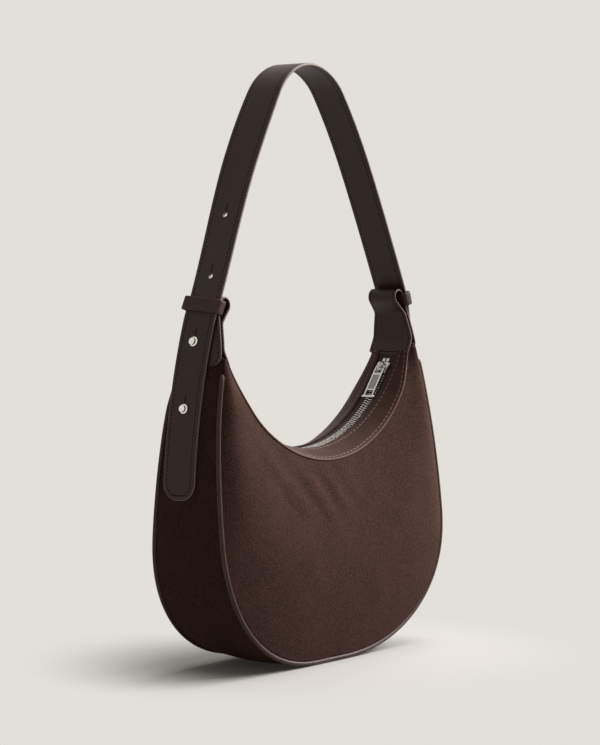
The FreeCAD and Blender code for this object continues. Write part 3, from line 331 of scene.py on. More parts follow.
def seam_line(outward, top, count):
    """Seam from one horn round the base to the other, moved outward: a straight base, a quarter of a
    full ellipse up to the widest level and a wide arc that leans in. A count of points (x, z) up to a
    top level, and their outward normals."""
    radius = (HORN_INSET**2 + (HORN_TOP - BELLY) ** 2) / (2 * HORN_INSET)
    corner = np.linspace(0, np.pi / 2, CORNER_STEPS)
    ahead, drop = np.sin(corner) ** CORNER_POWER, np.clip(np.cos(corner), 0, 1) ** CORNER_POWER
    lean = np.linspace(0, np.arcsin((HORN_TOP + SEAM_SPARE - BELLY) / radius), LEAN_STEPS)[1:]
    z = np.concatenate([BELLY - (BELLY - SEAM_BASE) * drop, BELLY + radius * np.sin(lean)])
    left, right = [
        np.concatenate([base + (SEAM_HALF - base) * ahead, SEAM_HALF - radius * (1 - np.cos(lean))])
        for base in (LEFT_BASE, RIGHT_BASE)
    ]
    line = joined(np.concatenate([-left[::-1], right]), np.concatenate([z[::-1], z]))
    way = unit(np.gradient(line, axis=0))
    normal = joined(way[:, 1], -way[:, 0])
    line = line + outward * normal
    run = run_of(line)
    first = np.interp(-top, -line[: len(z), 1], run[: len(z)])
    last = np.interp(top, line[len(z) :, 1], run[len(z) :])
    at = np.linspace(first, last, count)
    both = [np.interp(at, run, column) for column in np.concatenate([line, normal], axis=1).T]
    return joined(*both[:2]), joined(*both[2:])


def half_depth(z):
    """Seam's distance from the middle plane: even near the base, then a straight lean in that starts
    smoothly."""
    rise = z - LEAN_START
    return BASE_DEPTH - LEAN_SLOPE * (rise + np.hypot(rise, LEAN_SOFT)) / 2


def closing(z):
    """By how much the horns close in more than that, at the back and along the mouth: eased in."""
    return CLOSE_DEPTH * eased(z, CLOSE_START, HORN_TOP)


def roof(angles):
    """Fall of the facing from its inner to its outer edge: less by the square of the angle."""
    return ROOF_MIDDLE + (ROOF_END - ROOF_MIDDLE) * (angles / ROOF_ANGLE) ** 2


def leaned(points, amount=1.0):
    """The left horn leans to the front by an amount that eases in with its height, and the base rises
    to the back, by a share that falls with the square of the height."""
    lean = eased(points[..., 2], LEFT_LEAN_START, PANEL_TOP)
    moved = points.copy()
    moved[..., 1] -= LEFT_LEAN * amount * lean * (points[..., 0] < 0)
    to_back = np.clip((points[..., 1] + BASE_DEPTH) / (2 * BASE_DEPTH), 0, 1)
    moved[..., 2] += BASE_LIFT * to_back * np.clip(1 - points[..., 2] / BASE_LIFT_TOP, 0, 1) ** 2
    return moved


def on_mouth(radius, across, angles):
    """Points at angles from the lowest point of the mouth, on circles about its centre line."""
    x, z = radius * np.sin(angles), MOUTH_CENTRE - radius * np.cos(angles)
    return joined(x, across, z)


def panel_points(hand, inset, wall, edge_radius):
    """Crescent between the seam (u = 0) and the mouth (u = 1): straight lines between points at the
    same share of both curves, swollen by a sine of u. Slack and soft slanting folds are waves on it."""
    seam = seam_line(-inset, PANEL_TOP, PANEL_ROWS)[0]
    tip = np.arccos((MOUTH_CENTRE - PANEL_TOP) / (edge_radius + ROOF_END))
    angles = np.linspace(-tip, tip, PANEL_ROWS)
    mouth = on_mouth(edge_radius + roof(angles), 0, angles)[:, ::2]
    u = np.linspace(0, 1, PANEL_COLUMNS)[None, :]
    flat = seam[:, None] * (1 - u[..., None]) + mouth[:, None] * u[..., None]
    width = np.linalg.norm(mouth - seam, axis=1)[:, None]
    swell = PANEL_SWELL * width / (width + PANEL_SWELL_WIDTH) * np.sin(np.pi * u)
    x, z = flat[..., 0], flat[..., 1]
    slack = SLACK_RISE * np.sin(x / SLACK_ALONG + 1) * np.sin(z / SLACK_UP) * np.sin(np.pi * u)
    reach = np.sin(np.pi * np.clip((u - FOLD_START) / (1 - FOLD_START), 0, 1))
    reach = reach * np.exp(-(((x - FOLD_MIDDLE) / FOLD_SPREAD) ** 2))
    phase = 2 * np.pi * (FOLD_WAY[0] * x + FOLD_WAY[1] * z) / FOLD_SPACING
    folds = FOLD_RISE * reach * np.sin(phase + np.sin(x / FOLD_WANDER))
    close = closing(z) * (u if hand < 0 else 1) + (0 if hand < 0 else BACK_LEAN * u**3)
    outer = half_depth(z) + wall / 2 + swell + slack + folds - close
    both = np.concatenate([outer, (outer - wall)[:, ::-1]], axis=1)
    sheet = np.concatenate([flat, flat[:, ::-1]], axis=1)
    amount = SEAM_LEAN + (1 - SEAM_LEAN) * np.concatenate([u, u[:, ::-1]], axis=1)
    return leaned(joined(sheet[..., 0], hand * both, sheet[..., 1]), amount)


suede = suede_finish("suede", SUEDE_DARK, SUEDE, SUEDE_LIGHT)
for name, hand in (("front_panel", -1), ("back_panel", 1)):
    crescent = panel_points(hand, SEAM_INSET, PANEL_WALL, PANEL_EDGE_RADIUS)
    fixed(surface(f"{name}_suede", crescent, crescent[..., ::2], suede), "bag", "suede", name)

# Gusset: one suede band, sewn to both panels and so carried round the base and up both sides. It is
# a little fuller than the seams, and its base lies flat on the floor.
GUSSET_CROWN, GUSSET_WALL, GUSSET_MARGIN = 3.5, 2.2, 0.8
GUSSET_ROWS, GUSSET_COLUMNS = 261, 25


def gusset_points(inward, wall, margin):
    """Band along the seam line: at v from -1 to 1 across it, it stands out by crown * (1 - v * v)."""
    line, normal = seam_line(0.0, GUSSET_TOP, GUSSET_ROWS)
    v = np.linspace(-1, 1, GUSSET_COLUMNS)[None, :]
    crown = GUSSET_CROWN * (1 - v**2) - inward
    both = np.concatenate([crown, crown[:, ::-1] - wall], axis=1)
    share = np.concatenate([v, v[:, ::-1]], axis=1)
    across = share * (half_depth(line[:, 1:]) - margin) - closing(line[:, 1:]) * (share + 1) / 2
    x = line[:, :1] + normal[:, :1] * both
    z = np.maximum(line[:, 1:] + normal[:, 1:] * both, inward)
    return leaned(joined(x, across, z), SEAM_LEAN)


band = gusset_points(0.0, GUSSET_WALL, GUSSET_MARGIN)
fixed(surface("gusset_suede", band, band[..., 1:], suede), "bag", "suede", "gusset")

# Piping: a cord covered in smooth leather, caught in each seam. It stiffens the edge, and its rounded
# ends lie just under the tabs.
ACROSS = np.array([0.0, 1.0, 0.0])
PIPING_RADIUS, PIPING_TOP, PIPING_TIP = 2.0, 245.0, 0.3
PIPING_ROWS, PIPING_COLUMNS = 361, 14
PIPING_BROWN, PIPING_WORN = colour(80, 59, 50), colour(98, 73, 63)
HIDE_CLOUD, HIDE_BAND, HIDE_PEBBLE, HIDE_BUMP = 14.0, (0.3, 0.75), 0.9, (0.12, 0.3)
HIDE_ROUGH, PIPING_SHINE = 0.42, 0.22


def dyed(place, dark, worn):
    """Colour of a dyed hide, paler in faint clouds."""
    return grain(place, HIDE_CLOUD, 3.0).step(*HIDE_BAND).blend(dark, worn)


def dyed_finish(name, dark, worn, roughness, shine):
    """Smooth dyed leather or cloth: faint clouds, fine pebbles in the bump and an even shine."""
    made, shader, place = finish_of(name, {"Roughness": roughness, "Specular IOR Level": shine})
    dyed(place, dark, worn).into(shader, "Base Color")
    embossed(shader, grain(place, HIDE_PEBBLE), *HIDE_BUMP)
    return made


def piping_points(hand):
    """Tube round the seam line; its radius closes as a quarter of an ellipse at both ends."""
    line = seam_line(0.0, PIPING_TOP, PIPING_ROWS)[0]
    depth = half_depth(line[:, 1]) - (closing(line[:, 1]) if hand > 0 else 0)
    path = leaned(joined(line[:, 0], hand * depth, line[:, 1]), SEAM_LEAN)
    way = unit(np.gradient(path, axis=0))
    side = unit(np.cross(way, ACROSS))
    up = np.cross(side, way)
    run = run_of(path)
    from_end = np.minimum(np.minimum(run, run[-1] - run) / 2 + PIPING_TIP, PIPING_RADIUS)
    radius = np.sqrt(PIPING_RADIUS**2 - (PIPING_RADIUS - from_end) ** 2)[:, None, None]
    turn = full_turn(PIPING_COLUMNS)[None, :, None]
    return path[:, None] + radius * (np.cos(turn) * side[:, None] + np.sin(turn) * up[:, None])


piping_leather = dyed_finish("piping_leather", PIPING_BROWN, PIPING_WORN, HIDE_ROUGH, PIPING_SHINE)
for name, hand in (("front_piping", -1), ("back_piping", 1)):
    cord = piping_points(hand)
    fixed(surface(f"{name}_cord", cord, cord[..., ::2], piping_leather), "bag", "leather", name)

# Lining: thin brown cloth behind both panels and the gusset, sewn in at the mouth. The closed zip
# hides it.
LINING_WALL, LINING_ROUGH, LINING_SHINE = 0.6, 0.9, 0.1
LINING_INSET, LINING_GAP, LINING_RIM = 4.0, 3.4, 1.6
LINING_CLEARANCE, LINING_MARGIN = 0.4, 5.0
LINING_BROWN, LINING_DARK = colour(70, 54, 48), colour(58, 44, 40)

lining_cloth = dyed_finish("lining_cloth", LINING_DARK, LINING_BROWN, LINING_ROUGH, LINING_SHINE)
for name, hand in (("lining_front", -1), ("lining_back", 1)):
    cloth = panel_points(hand, LINING_INSET, LINING_WALL, PANEL_EDGE_RADIUS + LINING_RIM)
    cloth[..., 1] -= hand * LINING_GAP
    fixed(surface(f"{name}_cloth", cloth, cloth[..., ::2], lining_cloth), "bag", "lining", name)
band_cloth = gusset_points(GUSSET_WALL + LINING_CLEARANCE, LINING_WALL, LINING_MARGIN)
gusset_lining = surface("lining_gusset_cloth", band_cloth, band_cloth[..., 1:], lining_cloth)
fixed(gusset_lining, "bag", "lining", "lining_gusset")

# Zip facings: two strips of smooth leather along the mouth, folded over the panels' upper edges, with
# painted edges and a row of tan stitches along each side.
FACING_WALL, FACING_GAP, FACING_END, FACING_OVERHANG = 1.8, 9.0, np.radians(63.3), 0.9
FACING_ROWS, FACING_COLUMNS, FACING_BEND = 181, 33, 1.3
EDGE_STEPS = 7
STITCH_INSET, STITCH_SHARE, STITCH_HALF, STITCH_SOFT = 2.8, 0.62, 0.5, 0.15
INNER_ROW, INNER_EDGE, FACING_PITCH, FACING_ROUGH, FACING_SHINE = 4.2, 0.9, 4.8, 0.5, 0.02
STITCH_START, STITCH_END, STITCH_RISE = 0.08, 0.1, 0.8
# The crease numbers are for the pressed line along each stitch row: its band, how far painted shade darkens
# it, how much its coat dulls and how deep its bump sinks.
CREASE_BAND, CREASE_SHADE_SHARE, CREASE_DULL, CREASE_SINK = (0.3, 0.8), 0.12, 0.2, 0.8
PAINT_BAND, SEWN_PEBBLE, SEWN_BUMP = (0.3, 0.7), 0.1, (0.5, 0.4)
COATED = {"Specular IOR Level": 0.08, "Coat Roughness": HIDE_ROUGH}
FACING_HIDE = (colour(76, 54, 44), colour(86, 61, 50))
# The last colour here is painted shade: near black, laid in the pressed stitch grooves and in the strap's
# slits.
EDGE_PAINT, TAN_THREAD, STITCH_GROOVE_AND_SLIT_SHADE = colour(120, 94, 84), colour(154, 126, 114), colour(18, 13, 12)


def bar_section(flat):
    """Section of a strip with round edges: (share of the straight width, cosine, sine) of its points,
    with flat points along each face and a half circle at each edge."""
    bend = np.linspace(-np.pi / 2, np.pi / 2, EDGE_STEPS)
    face = np.linspace(1, -1, flat)[1:-1]
    share = np.concatenate([np.ones(EDGE_STEPS), face, -np.ones(EDGE_STEPS), -face])
    cosine = np.concatenate([np.cos(bend), 0 * face, -np.cos(bend), 0 * face])
    sine = np.concatenate([np.sin(bend), 1 + 0 * face, -np.sin(bend), -1 + 0 * face])
    return share, cosine, sine


def marks_of(place):
    """Both numbers of a piece's UV map, as Fields."""
    chart = place.node("ShaderNodeUVMap", {"uv_map": "marks"}, {}, "UV")
    split = chart.node("ShaderNodeSeparateXYZ", {}, {0: chart})
    return split, Field(split.tree, split.socket.node.outputs[1])


def stitch_row(count, off_line):
    """1 on the stitches of a row: dashes along it, one for each whole step of the count, where the
    distance off its line is small."""
    dash = count.math("FRACT")
    length = dash.step(0.0, STITCH_START) * (1 - dash.step(STITCH_SHARE, STITCH_SHARE + STITCH_END))
    aside = off_line.math("ABSOLUTE").step(STITCH_HALF - STITCH_SOFT, STITCH_HALF + STITCH_SOFT)
    return length * (1 - aside)


def sewn_leather(shader, place, count, edge, inset, hide, thread, paint, shine):
    """Colour of leather with painted edges and one row of stitches, at an inset from its edge, and the
    bump and coat of its shader. The stitches lie in a pressed line, darkened with painted shade."""
    off_row = edge - inset
    threads = stitch_row(count, off_row)
    crease = 1 - off_row.math("ABSOLUTE").step(*CREASE_BAND)
    # The pressed line is darkened a little towards near black: painted shade in the groove.
    sewn = threads.blend((crease * CREASE_SHADE_SHARE).blend(dyed(place, *hide), STITCH_GROOVE_AND_SLIT_SHADE), thread)
    relief = grain(place, HIDE_PEBBLE) * SEWN_PEBBLE + threads * STITCH_RISE - crease * CREASE_SINK
    embossed(shader, relief, *SEWN_BUMP)
    (shine * (1 - threads.math("MAXIMUM", crease * CREASE_DULL))).into(shader, "Coat Weight")
    return (1 - edge.step(*PAINT_BAND)).blend(sewn, paint)


def sewn_finish(name, roughness, pitch, hide, thread, paint, shine):
    """Sewn leather with stitches a pitch apart, for a piece whose marks are how far along and how far in
    from an edge."""
    made, shader, place = finish_of(name, {**COATED, "Roughness": roughness})
    along, edge = marks_of(place)
    sewn = sewn_leather(shader, place, along / pitch, edge, STITCH_INSET, hide, thread, paint, shine)
    sewn.into(shader, "Base Color")
    return made


def facing_points(hand):
    """Strip along the mouth: its inner edge is straight, and it falls to its outer edge on the panel by
    a power of the share of its width. The marks are how far along and how far in from an edge."""
    angles = np.linspace(-FACING_END, FACING_END, FACING_ROWS)[:, None]
    rim_z = on_mouth(MOUTH_RADIUS + roof(angles), 0, angles)[..., 2]
    outer = half_depth(rim_z) - closing(rim_z) + PANEL_WALL / 2 + FACING_OVERHANG
    outer = outer - (BACK_LEAN if hand > 0 else 0)
    half, middle = (outer - FACING_GAP) / 2, (outer + FACING_GAP) / 2
    share, cosine, sine = bar_section(FACING_COLUMNS)
    rim = FACING_WALL / 2
    across = middle + share * (half - rim) + cosine * rim
    fall = np.clip((across - FACING_GAP) / (outer - FACING_GAP), 0, 1) ** FACING_BEND
    points = on_mouth(MOUTH_RADIUS + rim - sine * rim + roof(angles) * fall, hand * across, angles)
    inner = np.maximum(across - FACING_GAP - INNER_ROW + STITCH_INSET, INNER_EDGE)
    along = MOUTH_RADIUS * (angles + 2)
    return leaned(points), joined(along, np.minimum(inner, outer - across))


facing_leather = sewn_finish(
    "facing_leather", FACING_ROUGH, FACING_PITCH, FACING_HIDE, TAN_THREAD, EDGE_PAINT, FACING_SHINE
)
for name, hand in (("zip_facing_front", -1), ("zip_facing_back", 1)):
    points, marks = facing_points(hand)
    fixed(surface(f"{name}_leather", points, marks, facing_leather), "bag", "leather", name)

# Zip tapes: two woven brown ribbons, sewn under the facings. Their inner edges carry the teeth, and
# past the teeth they nearly meet.
TAPE_RADIUS, TAPE_WALL, TAPE_INNER, TAPE_OUTER, TAPE_MEET = 140.2, 0.6, 3.3, 16.0, 0.2
TAPE_END, TEETH_OPEN, TEETH_CLOSED = np.radians([62.0, -42.0, 59.0])
TAPE_CLOSING = np.radians(2.0)
TAPE_COLUMNS, TAPE_ROUGH, RIB_PITCH, RIB_SLANT = 9, 0.9, 1.1, 3.0
TAPE_BROWN, TAPE_DARK = colour(86, 66, 59), colour(64, 48, 43)


def tape_points(hand):
    """Thin strip on a circle about the mouth's centre. Beyond the teeth its inner edge moves in evenly.
    The marks are how far along and how far across."""
    angles = np.linspace(-TAPE_END, TAPE_END, FACING_ROWS)[:, None]
    beyond = np.maximum(TEETH_OPEN - angles, angles - TEETH_CLOSED)
    inner = TAPE_INNER + (TAPE_MEET - TAPE_INNER) * np.clip(beyond / TAPE_CLOSING, 0, 1)
    share, cosine, sine = bar_section(TAPE_COLUMNS)
    rim = TAPE_WALL / 2
    half, middle = (TAPE_OUTER - inner) / 2, (TAPE_OUTER + inner) / 2
    across = middle + share * (half - rim) + cosine * rim
    points = on_mouth(TAPE_RADIUS + rim - sine * rim, hand * across, angles)
    return leaned(points), joined(TAPE_RADIUS * angles, across)


tape_weave, tape_shader, tape_place = finish_of("tape_weave", {"Roughness": TAPE_ROUGH})
tape_along, tape_across = marks_of(tape_place)
ribs = (tape_along * (2 * np.pi / RIB_PITCH) + tape_across * RIB_SLANT).math("SINE") * 0.5 + 0.5
ribs.blend(TAPE_DARK, TAPE_BROWN).into(tape_shader, "Base Color")
for name, hand in (("zip_tape_front", -1), ("zip_tape_back", 1)):
    points, marks = tape_points(hand)
    fixed(surface(f"{name}_weave", points, marks, tape_weave), "bag", "zip_tape", name)

# Zip teeth: cast metal blocks clamped on each tape, wider at their heads, in two rows that stand half
# a pitch apart.
TOOTH_PITCH, TOOTH_THICK, TOOTH_HEIGHT = 2.7, 1.25, 2.8
TOOTH_ACROSS, TOOTH_SHARE = np.array([[0.3, 0.65, 1.9, 2.6, 4.1], [0.62, 1.0, 1.0, 0.72, 0.6]])[..., None]
TOOTH_SIDES, TOOTH_FLANK, TOOTH_FACE = 8, 1.25, 1.15
SILVER, SILVER_WORN, SILVER_ROUGH = colour(206, 203, 197), colour(158, 154, 148), 0.22
PLATE_CLOUD, PLATE_BAND, PLATE_DULL = 3.0, (0.35, 0.7), 0.12


def metal_finish(name, roughness, bright, worn):
    """Polished silver plate, a little darker and duller in clouds."""
    made, shader, place = finish_of(name, {"Metallic": 1.0})
    clouds = grain(place, PLATE_CLOUD, 3.0)
    clouds.step(*PLATE_BAND).blend(bright, worn).into(shader, "Base Color")
    (roughness + PLATE_DULL * clouds).into(shader, "Roughness")
    return made


def on_zip(local, angles):
    """Points (along the zip, across it, up from its tapes) carried to angles along the mouth."""
    bearing = angles + local[..., 0] / TAPE_RADIUS
    return on_mouth(TAPE_RADIUS - local[..., 2], local[..., 1], bearing)


def teeth_points(hand):
    """A tooth is an eight-sided section with flattened sides, carried across the zip and narrowed in
    steps. It is copied along the zip at even angles."""
    step = TOOTH_PITCH / TAPE_RADIUS
    angles = np.arange(TEETH_OPEN + (step / 2 if hand > 0 else 0), TEETH_CLOSED - step, step)
    turn = (np.arange(TOOTH_SIDES) + 0.5) * 2 * np.pi / TOOTH_SIDES
    x = TOOTH_SHARE * TOOTH_THICK / 2 * np.clip(TOOTH_FLANK * np.cos(turn), -1, 1)
    z = TOOTH_SHARE**0.5 * TOOTH_HEIGHT / 2 * np.clip(TOOTH_FACE * np.sin(turn), -1, 1) - TAPE_WALL / 2
    tooth = joined(x, hand * TOOTH_ACROSS, z)
    return on_zip(tooth[None], angles[:, None, None])


zip_metal = metal_finish("zip_metal", SILVER_ROUGH, SILVER, SILVER_WORN)
for name, hand in (("zip_teeth_front", -1), ("zip_teeth_back", 1)):
    row = teeth_points(hand)
    fixed(surface(f"{name}_row", row, row[..., ::2], zip_metal), "bag", "metal", name)


# Zip stops: small crimped clips, two at the closed end and one over both tapes at the open end. The
# solids are used as they are.
def plated(name, metal):
    """A CAD node that is seen as it is, in a metal."""
    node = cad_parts[name]
    node.data.materials.clear()
    node.data.materials.append(metal)


for name in ("zip_top_stops", "zip_bottom_stop"):
    plated(name, zip_metal)

# Slider and bail: a cast slider of two plates with turned-in edges, wider where the rows part, and a
# low bow on it that holds the pull.
SLIDER_ANGLE = np.radians(55.995)
SLIDER_LENGTH, SLIDER_WIDTH, SLIDER_PLATE = 12.0, 11.5, 1.9
PLATE_TOP, PLATE_LOW, SLIDER_LIP, LIP_DROP, SLIDER_FLARE = 2.2, -2.9, 1.0, 0.9, 0.24
BAIL_HALF, BAIL_RISE, BAIL_POWER, BAIL_WIRE, BAIL_WIDTH = 4.9, 5.0, 0.7, 0.75, 3.2
BAIL_ROWS, BAIL_COLUMNS = 25, 14
BLOCK_ROWS, BLOCK_COLUMNS, POLE_GAP, CAST_POWER = 13, 24, 0.02, 0.45


def pillow(length, width, height, centre, power=CAST_POWER):
    """Rounded block: a sphere's sines and cosines raised to a power below one. (rows, columns, 3)."""
    tilt = np.linspace(-np.pi / 2 + POLE_GAP, np.pi / 2 - POLE_GAP, BLOCK_ROWS)[:, None]
    turn = full_turn(BLOCK_COLUMNS)[None, :]
    waves = (np.cos(tilt), np.sin(tilt), np.cos(turn), np.sin(turn))
    level, up, ahead, aside = [np.sign(wave) * np.abs(wave) ** power for wave in waves]
    x, y = length / 2 * level * ahead, width / 2 * level * aside
    return joined(x, y, height / 2 * up) + np.array(centre)


lip_length = SLIDER_LENGTH - SLIDER_LIP
lip_y, lip_z = (SLIDER_WIDTH - SLIDER_LIP) / 2, PLATE_TOP - LIP_DROP
plates = np.stack(
    [
        pillow(SLIDER_LENGTH, SLIDER_WIDTH, SLIDER_PLATE, (0, 0, PLATE_TOP)),
        pillow(SLIDER_LENGTH, SLIDER_WIDTH, SLIDER_PLATE, (0, 0, PLATE_LOW)),
        pillow(lip_length, SLIDER_LIP, SLIDER_PLATE, (0, lip_y, lip_z)),
        pillow(lip_length, SLIDER_LIP, SLIDER_PLATE, (0, -lip_y, lip_z)),
    ]
)
plates[..., 1] *= 1 + SLIDER_FLARE * np.clip(plates[..., 0] / SLIDER_LENGTH * 2, -1, 1)
slider = surface("zip_slider_cast", on_zip(plates, SLIDER_ANGLE), np.zeros(2), zip_metal)
fixed(slider, "slider", "metal", "zip_slider")

# The bow is half an ellipse with a blunter top, and its wire a flat ellipse across the zip.
bow = np.linspace(0, np.pi, BAIL_ROWS)
bow_z = PLATE_TOP + BAIL_RISE * np.sin(bow) ** BAIL_POWER
bow_path = joined(BAIL_HALF * np.cos(bow), 0, bow_z)
bow_out = joined(np.cos(bow), 0, np.sin(bow))
bow_turn = full_turn(BAIL_COLUMNS)[None, :, None]
bow_points = bow_path[:, None] + BAIL_WIRE * np.cos(bow_turn) * bow_out[:, None]
bow_points[..., 1] += BAIL_WIDTH / 2 * np.sin(bow_turn[..., 0])
bail = surface("zip_bail_bow", on_zip(bow_points, SLIDER_ANGLE), np.zeros(2), zip_metal)
fixed(bail, "slider", "metal", "zip_bail")

# Pull tab: a cast plate with a raised rim, an eye for the bail, a square window near its end and a
# wider lip. Its face is left bare.
PIVOT_RADIUS, PULL_LIFT = 135.94, np.radians(4.0)
PULL_LENGTH, PULL_WIDTH, PULL_LIP, PULL_WALL, PULL_RAIL = 33.0, 10.0, 13.0, 1.6, 1.5
EYE_LENGTH, NECK_LENGTH, FACE_LENGTH, BAR_LENGTH, LIP_LENGTH = 1.7, 1.8, 17.4, 1.4, 2.2
EYE_BACK, NECK_PLACE, FACE_PLACE, BAR_PLACE = 0.8, 8.4, 16.6, 25.0
FACE_BAR, FACE_INSET, FACE_SUNK, LIP_PROUD = 4, 0.5, 0.5, 0.2
RAIL_POWER, EYE_POWER, FACE_POWER, LIP_POWER = 0.3, 0.5, 0.25, 0.35
PULL_GREY, PULL_ROUGH, FACE_DULL = colour(138, 134, 128), 0.2, 0.25


def plane_axes(heading):
    """On the plane of X and Z: the unit vector along a heading and the one a quarter turn past it."""
    along = np.array([np.cos(heading), 0, np.sin(heading)])
    return along, np.array([-along[2], 0, along[0]])


rail_x, rail_y = PULL_LENGTH / 2 - EYE_BACK, (PULL_WIDTH - PULL_RAIL) / 2
lip_x, face_width = PULL_LENGTH - LIP_LENGTH / 2, PULL_WIDTH - 2 * FACE_INSET
pull_bars = np.stack(
    [
        pillow(PULL_LENGTH, PULL_RAIL, PULL_WALL, (rail_x, rail_y, 0), RAIL_POWER),
        pillow(PULL_LENGTH, PULL_RAIL, PULL_WALL, (rail_x, -rail_y, 0), RAIL_POWER),
        pillow(EYE_LENGTH, PULL_WIDTH, PULL_WALL, (0, 0, 0), EYE_POWER),
        pillow(NECK_LENGTH, PULL_WIDTH, PULL_WALL, (NECK_PLACE, 0, 0), RAIL_POWER),
        pillow(FACE_LENGTH, face_width, PULL_WALL - FACE_SUNK, (FACE_PLACE, 0, 0), FACE_POWER),
        pillow(BAR_LENGTH, PULL_WIDTH, PULL_WALL, (BAR_PLACE, 0, 0), RAIL_POWER),
        pillow(LIP_LENGTH, PULL_LIP, PULL_WALL + LIP_PROUD, (lip_x, 0, 0), LIP_POWER),
    ]
)
zip_along, zip_up = plane_axes(SLIDER_ANGLE)
pull_way = zip_up * np.sin(PULL_LIFT) - zip_along * np.cos(PULL_LIFT)
pull_up = zip_up * np.cos(PULL_LIFT) + zip_along * np.sin(PULL_LIFT)
pivot = np.array([0, 0, MOUTH_CENTRE]) - PIVOT_RADIUS * zip_up
pull_points = pivot + pull_bars @ np.stack([pull_way, ACROSS, pull_up])
pull_marks = np.zeros((len(pull_bars), 1, 1, 2))
pull_marks[FACE_BAR] = 1.0
pull_metal, pull_shader, pull_place = finish_of("pull_metal", {"Metallic": 1.0})
face = marks_of(pull_place)[0]
face.blend(SILVER, PULL_GREY).into(pull_shader, "Base Color")
(PULL_ROUGH + FACE_DULL * face).into(pull_shader, "Roughness")
pull = surface("zip_pull_plate", pull_points, pull_marks, pull_metal)
fixed(pull, "pull", "metal", "zip_pull")

# Strap: two plies of smooth dark leather glued and sewn together, with painted edges, coloured paler
# than their paint as a painted highlight. Its rounded tails lie on the gusset, and the left one has
# spare holes above the keeper.
STRAP_HALF, STRAP_WALL, TAIL_ROUND = 16.4, 2.7, 14.0
TAIL_Z, LEAVE_Z, TURN_Z, APEX_Z = 144.5, 200.0, 288.0, 496.8
TURN_RADIUS, TOP_RADIUS, SIDE_BOW = 90.0, 48.0, 7.0
STRAP_GAP, CROWN_AT_HORN = 0.3, 1.12
STRAP_STEP, STRIP_COLUMNS, ROUND_STEPS = 2.5, 21, 15
STEEPEST, LEAN_TRIES = 60.0, 4001
STUD_PLACES, SPARE_PLACES = (73.5, 128.0), (182.5, 237.0)
HOLE_RADIUS, HOLE_SIDES = 2.2, 24
SLIT_LENGTH, SLIT_HALF, SLIT_SOFT, SLIT_BLUR = 10.5, 0.7, 0.4, 0.25
TAIL_SWAY, NECK_SWAY, SWAY_POWER = 5.5, -4.0, 2.4
SWAY_LOW, SWAY_TOP, SWAY_GONE = 190.0, 305.0, 420.0
TOP_SHIFT, LEFT_BULGE, RIGHT_BULGE, LEFT_TWIST = 2.5, 2.2, 4.5, 0.14
STRAP_ROW, STRAP_PITCH, STRAP_ROUGH, STRAP_SHINE = 4.0, 3.2, 0.45, 0.34
STRAP_HIDE = (colour(70, 52, 48), colour(79, 58, 52))
# The strap's edge colour is partly its paler edge paint and partly a painted highlight along the rounded
# edges.
STRAP_EDGE_PAINT_AND_HIGHLIGHT, DARK_THREAD = colour(168, 152, 143), colour(10, 7, 6)


def walk(x, z, heading, steps, spacing):
    """Path on the plane of X and Z, of straight runs (length, 0) and bends (radius, degrees): arrays
    of x, z, heading in radians and distance walked, about a spacing apart."""
    parts = []
    walked = 0.0
    for size, degrees in steps:
        length = size * abs(np.radians(degrees)) if degrees else size
        done = np.linspace(0, length, int(length / spacing) + 2)[0 if not parts else 1 :]
        start = np.radians(heading)
        bearing = start + np.radians(degrees) * done / length
        swing = np.sign(degrees) * size
        px = x + swing * (np.sin(bearing) - np.sin(start)) + (degrees == 0) * done * np.cos(start)
        pz = z + swing * (np.cos(start) - np.cos(bearing)) + (degrees == 0) * done * np.sin(start)
        parts.append(np.stack([px, pz, bearing, walked + done]))
        x, z, heading, walked = px[-1], pz[-1], heading + degrees, walked + length
    return np.concatenate(parts, axis=1)


def strip_points(path, half_width, wall):
    """Flat strip with round edges carried along a path; half_width may change along it. Its points,
    and how far across the strip they lie."""
    x, z, heading = path[:3, :, None]
    share, cosine, sine = bar_section(STRIP_COLUMNS)
    rim = wall / 2
    across = share * (half_width[:, None] - rim) + cosine * rim
    points = joined(x - sine * rim * np.sin(heading), across, z + sine * rim * np.cos(heading))
    return points, across


# The path of the right half: an arc on the gusset's crown, a straight run past the horn, a bend in, a
# slack arc and the round top. The lean at which the slack arc starts is the one that closes the path.
back_drop = HORN_INSET + GUSSET_CROWN - CROWN_AT_HORN
back_radius = (back_drop**2 + (HORN_TOP - BELLY) ** 2) / (2 * back_drop)
back_centre = SEAM_HALF + GUSSET_CROWN - back_radius
tail_radius = back_radius + STRAP_GAP + STRAP_WALL / 2
tail_lean, leave_lean = np.degrees(np.arcsin((np.array([TAIL_Z, LEAVE_Z]) - BELLY) / tail_radius))
tail_x = back_centre + tail_radius * np.cos(np.radians(tail_lean))
run_up = (TURN_Z - LEAVE_Z) / np.cos(np.radians(leave_lean))
lower_steps = [(tail_radius, leave_lean - tail_lean), (run_up, 0.0)]
turn_x, turn_z = walk(tail_x, TAIL_Z, 90 + tail_lean, lower_steps, STRAP_STEP)[:2, -1]

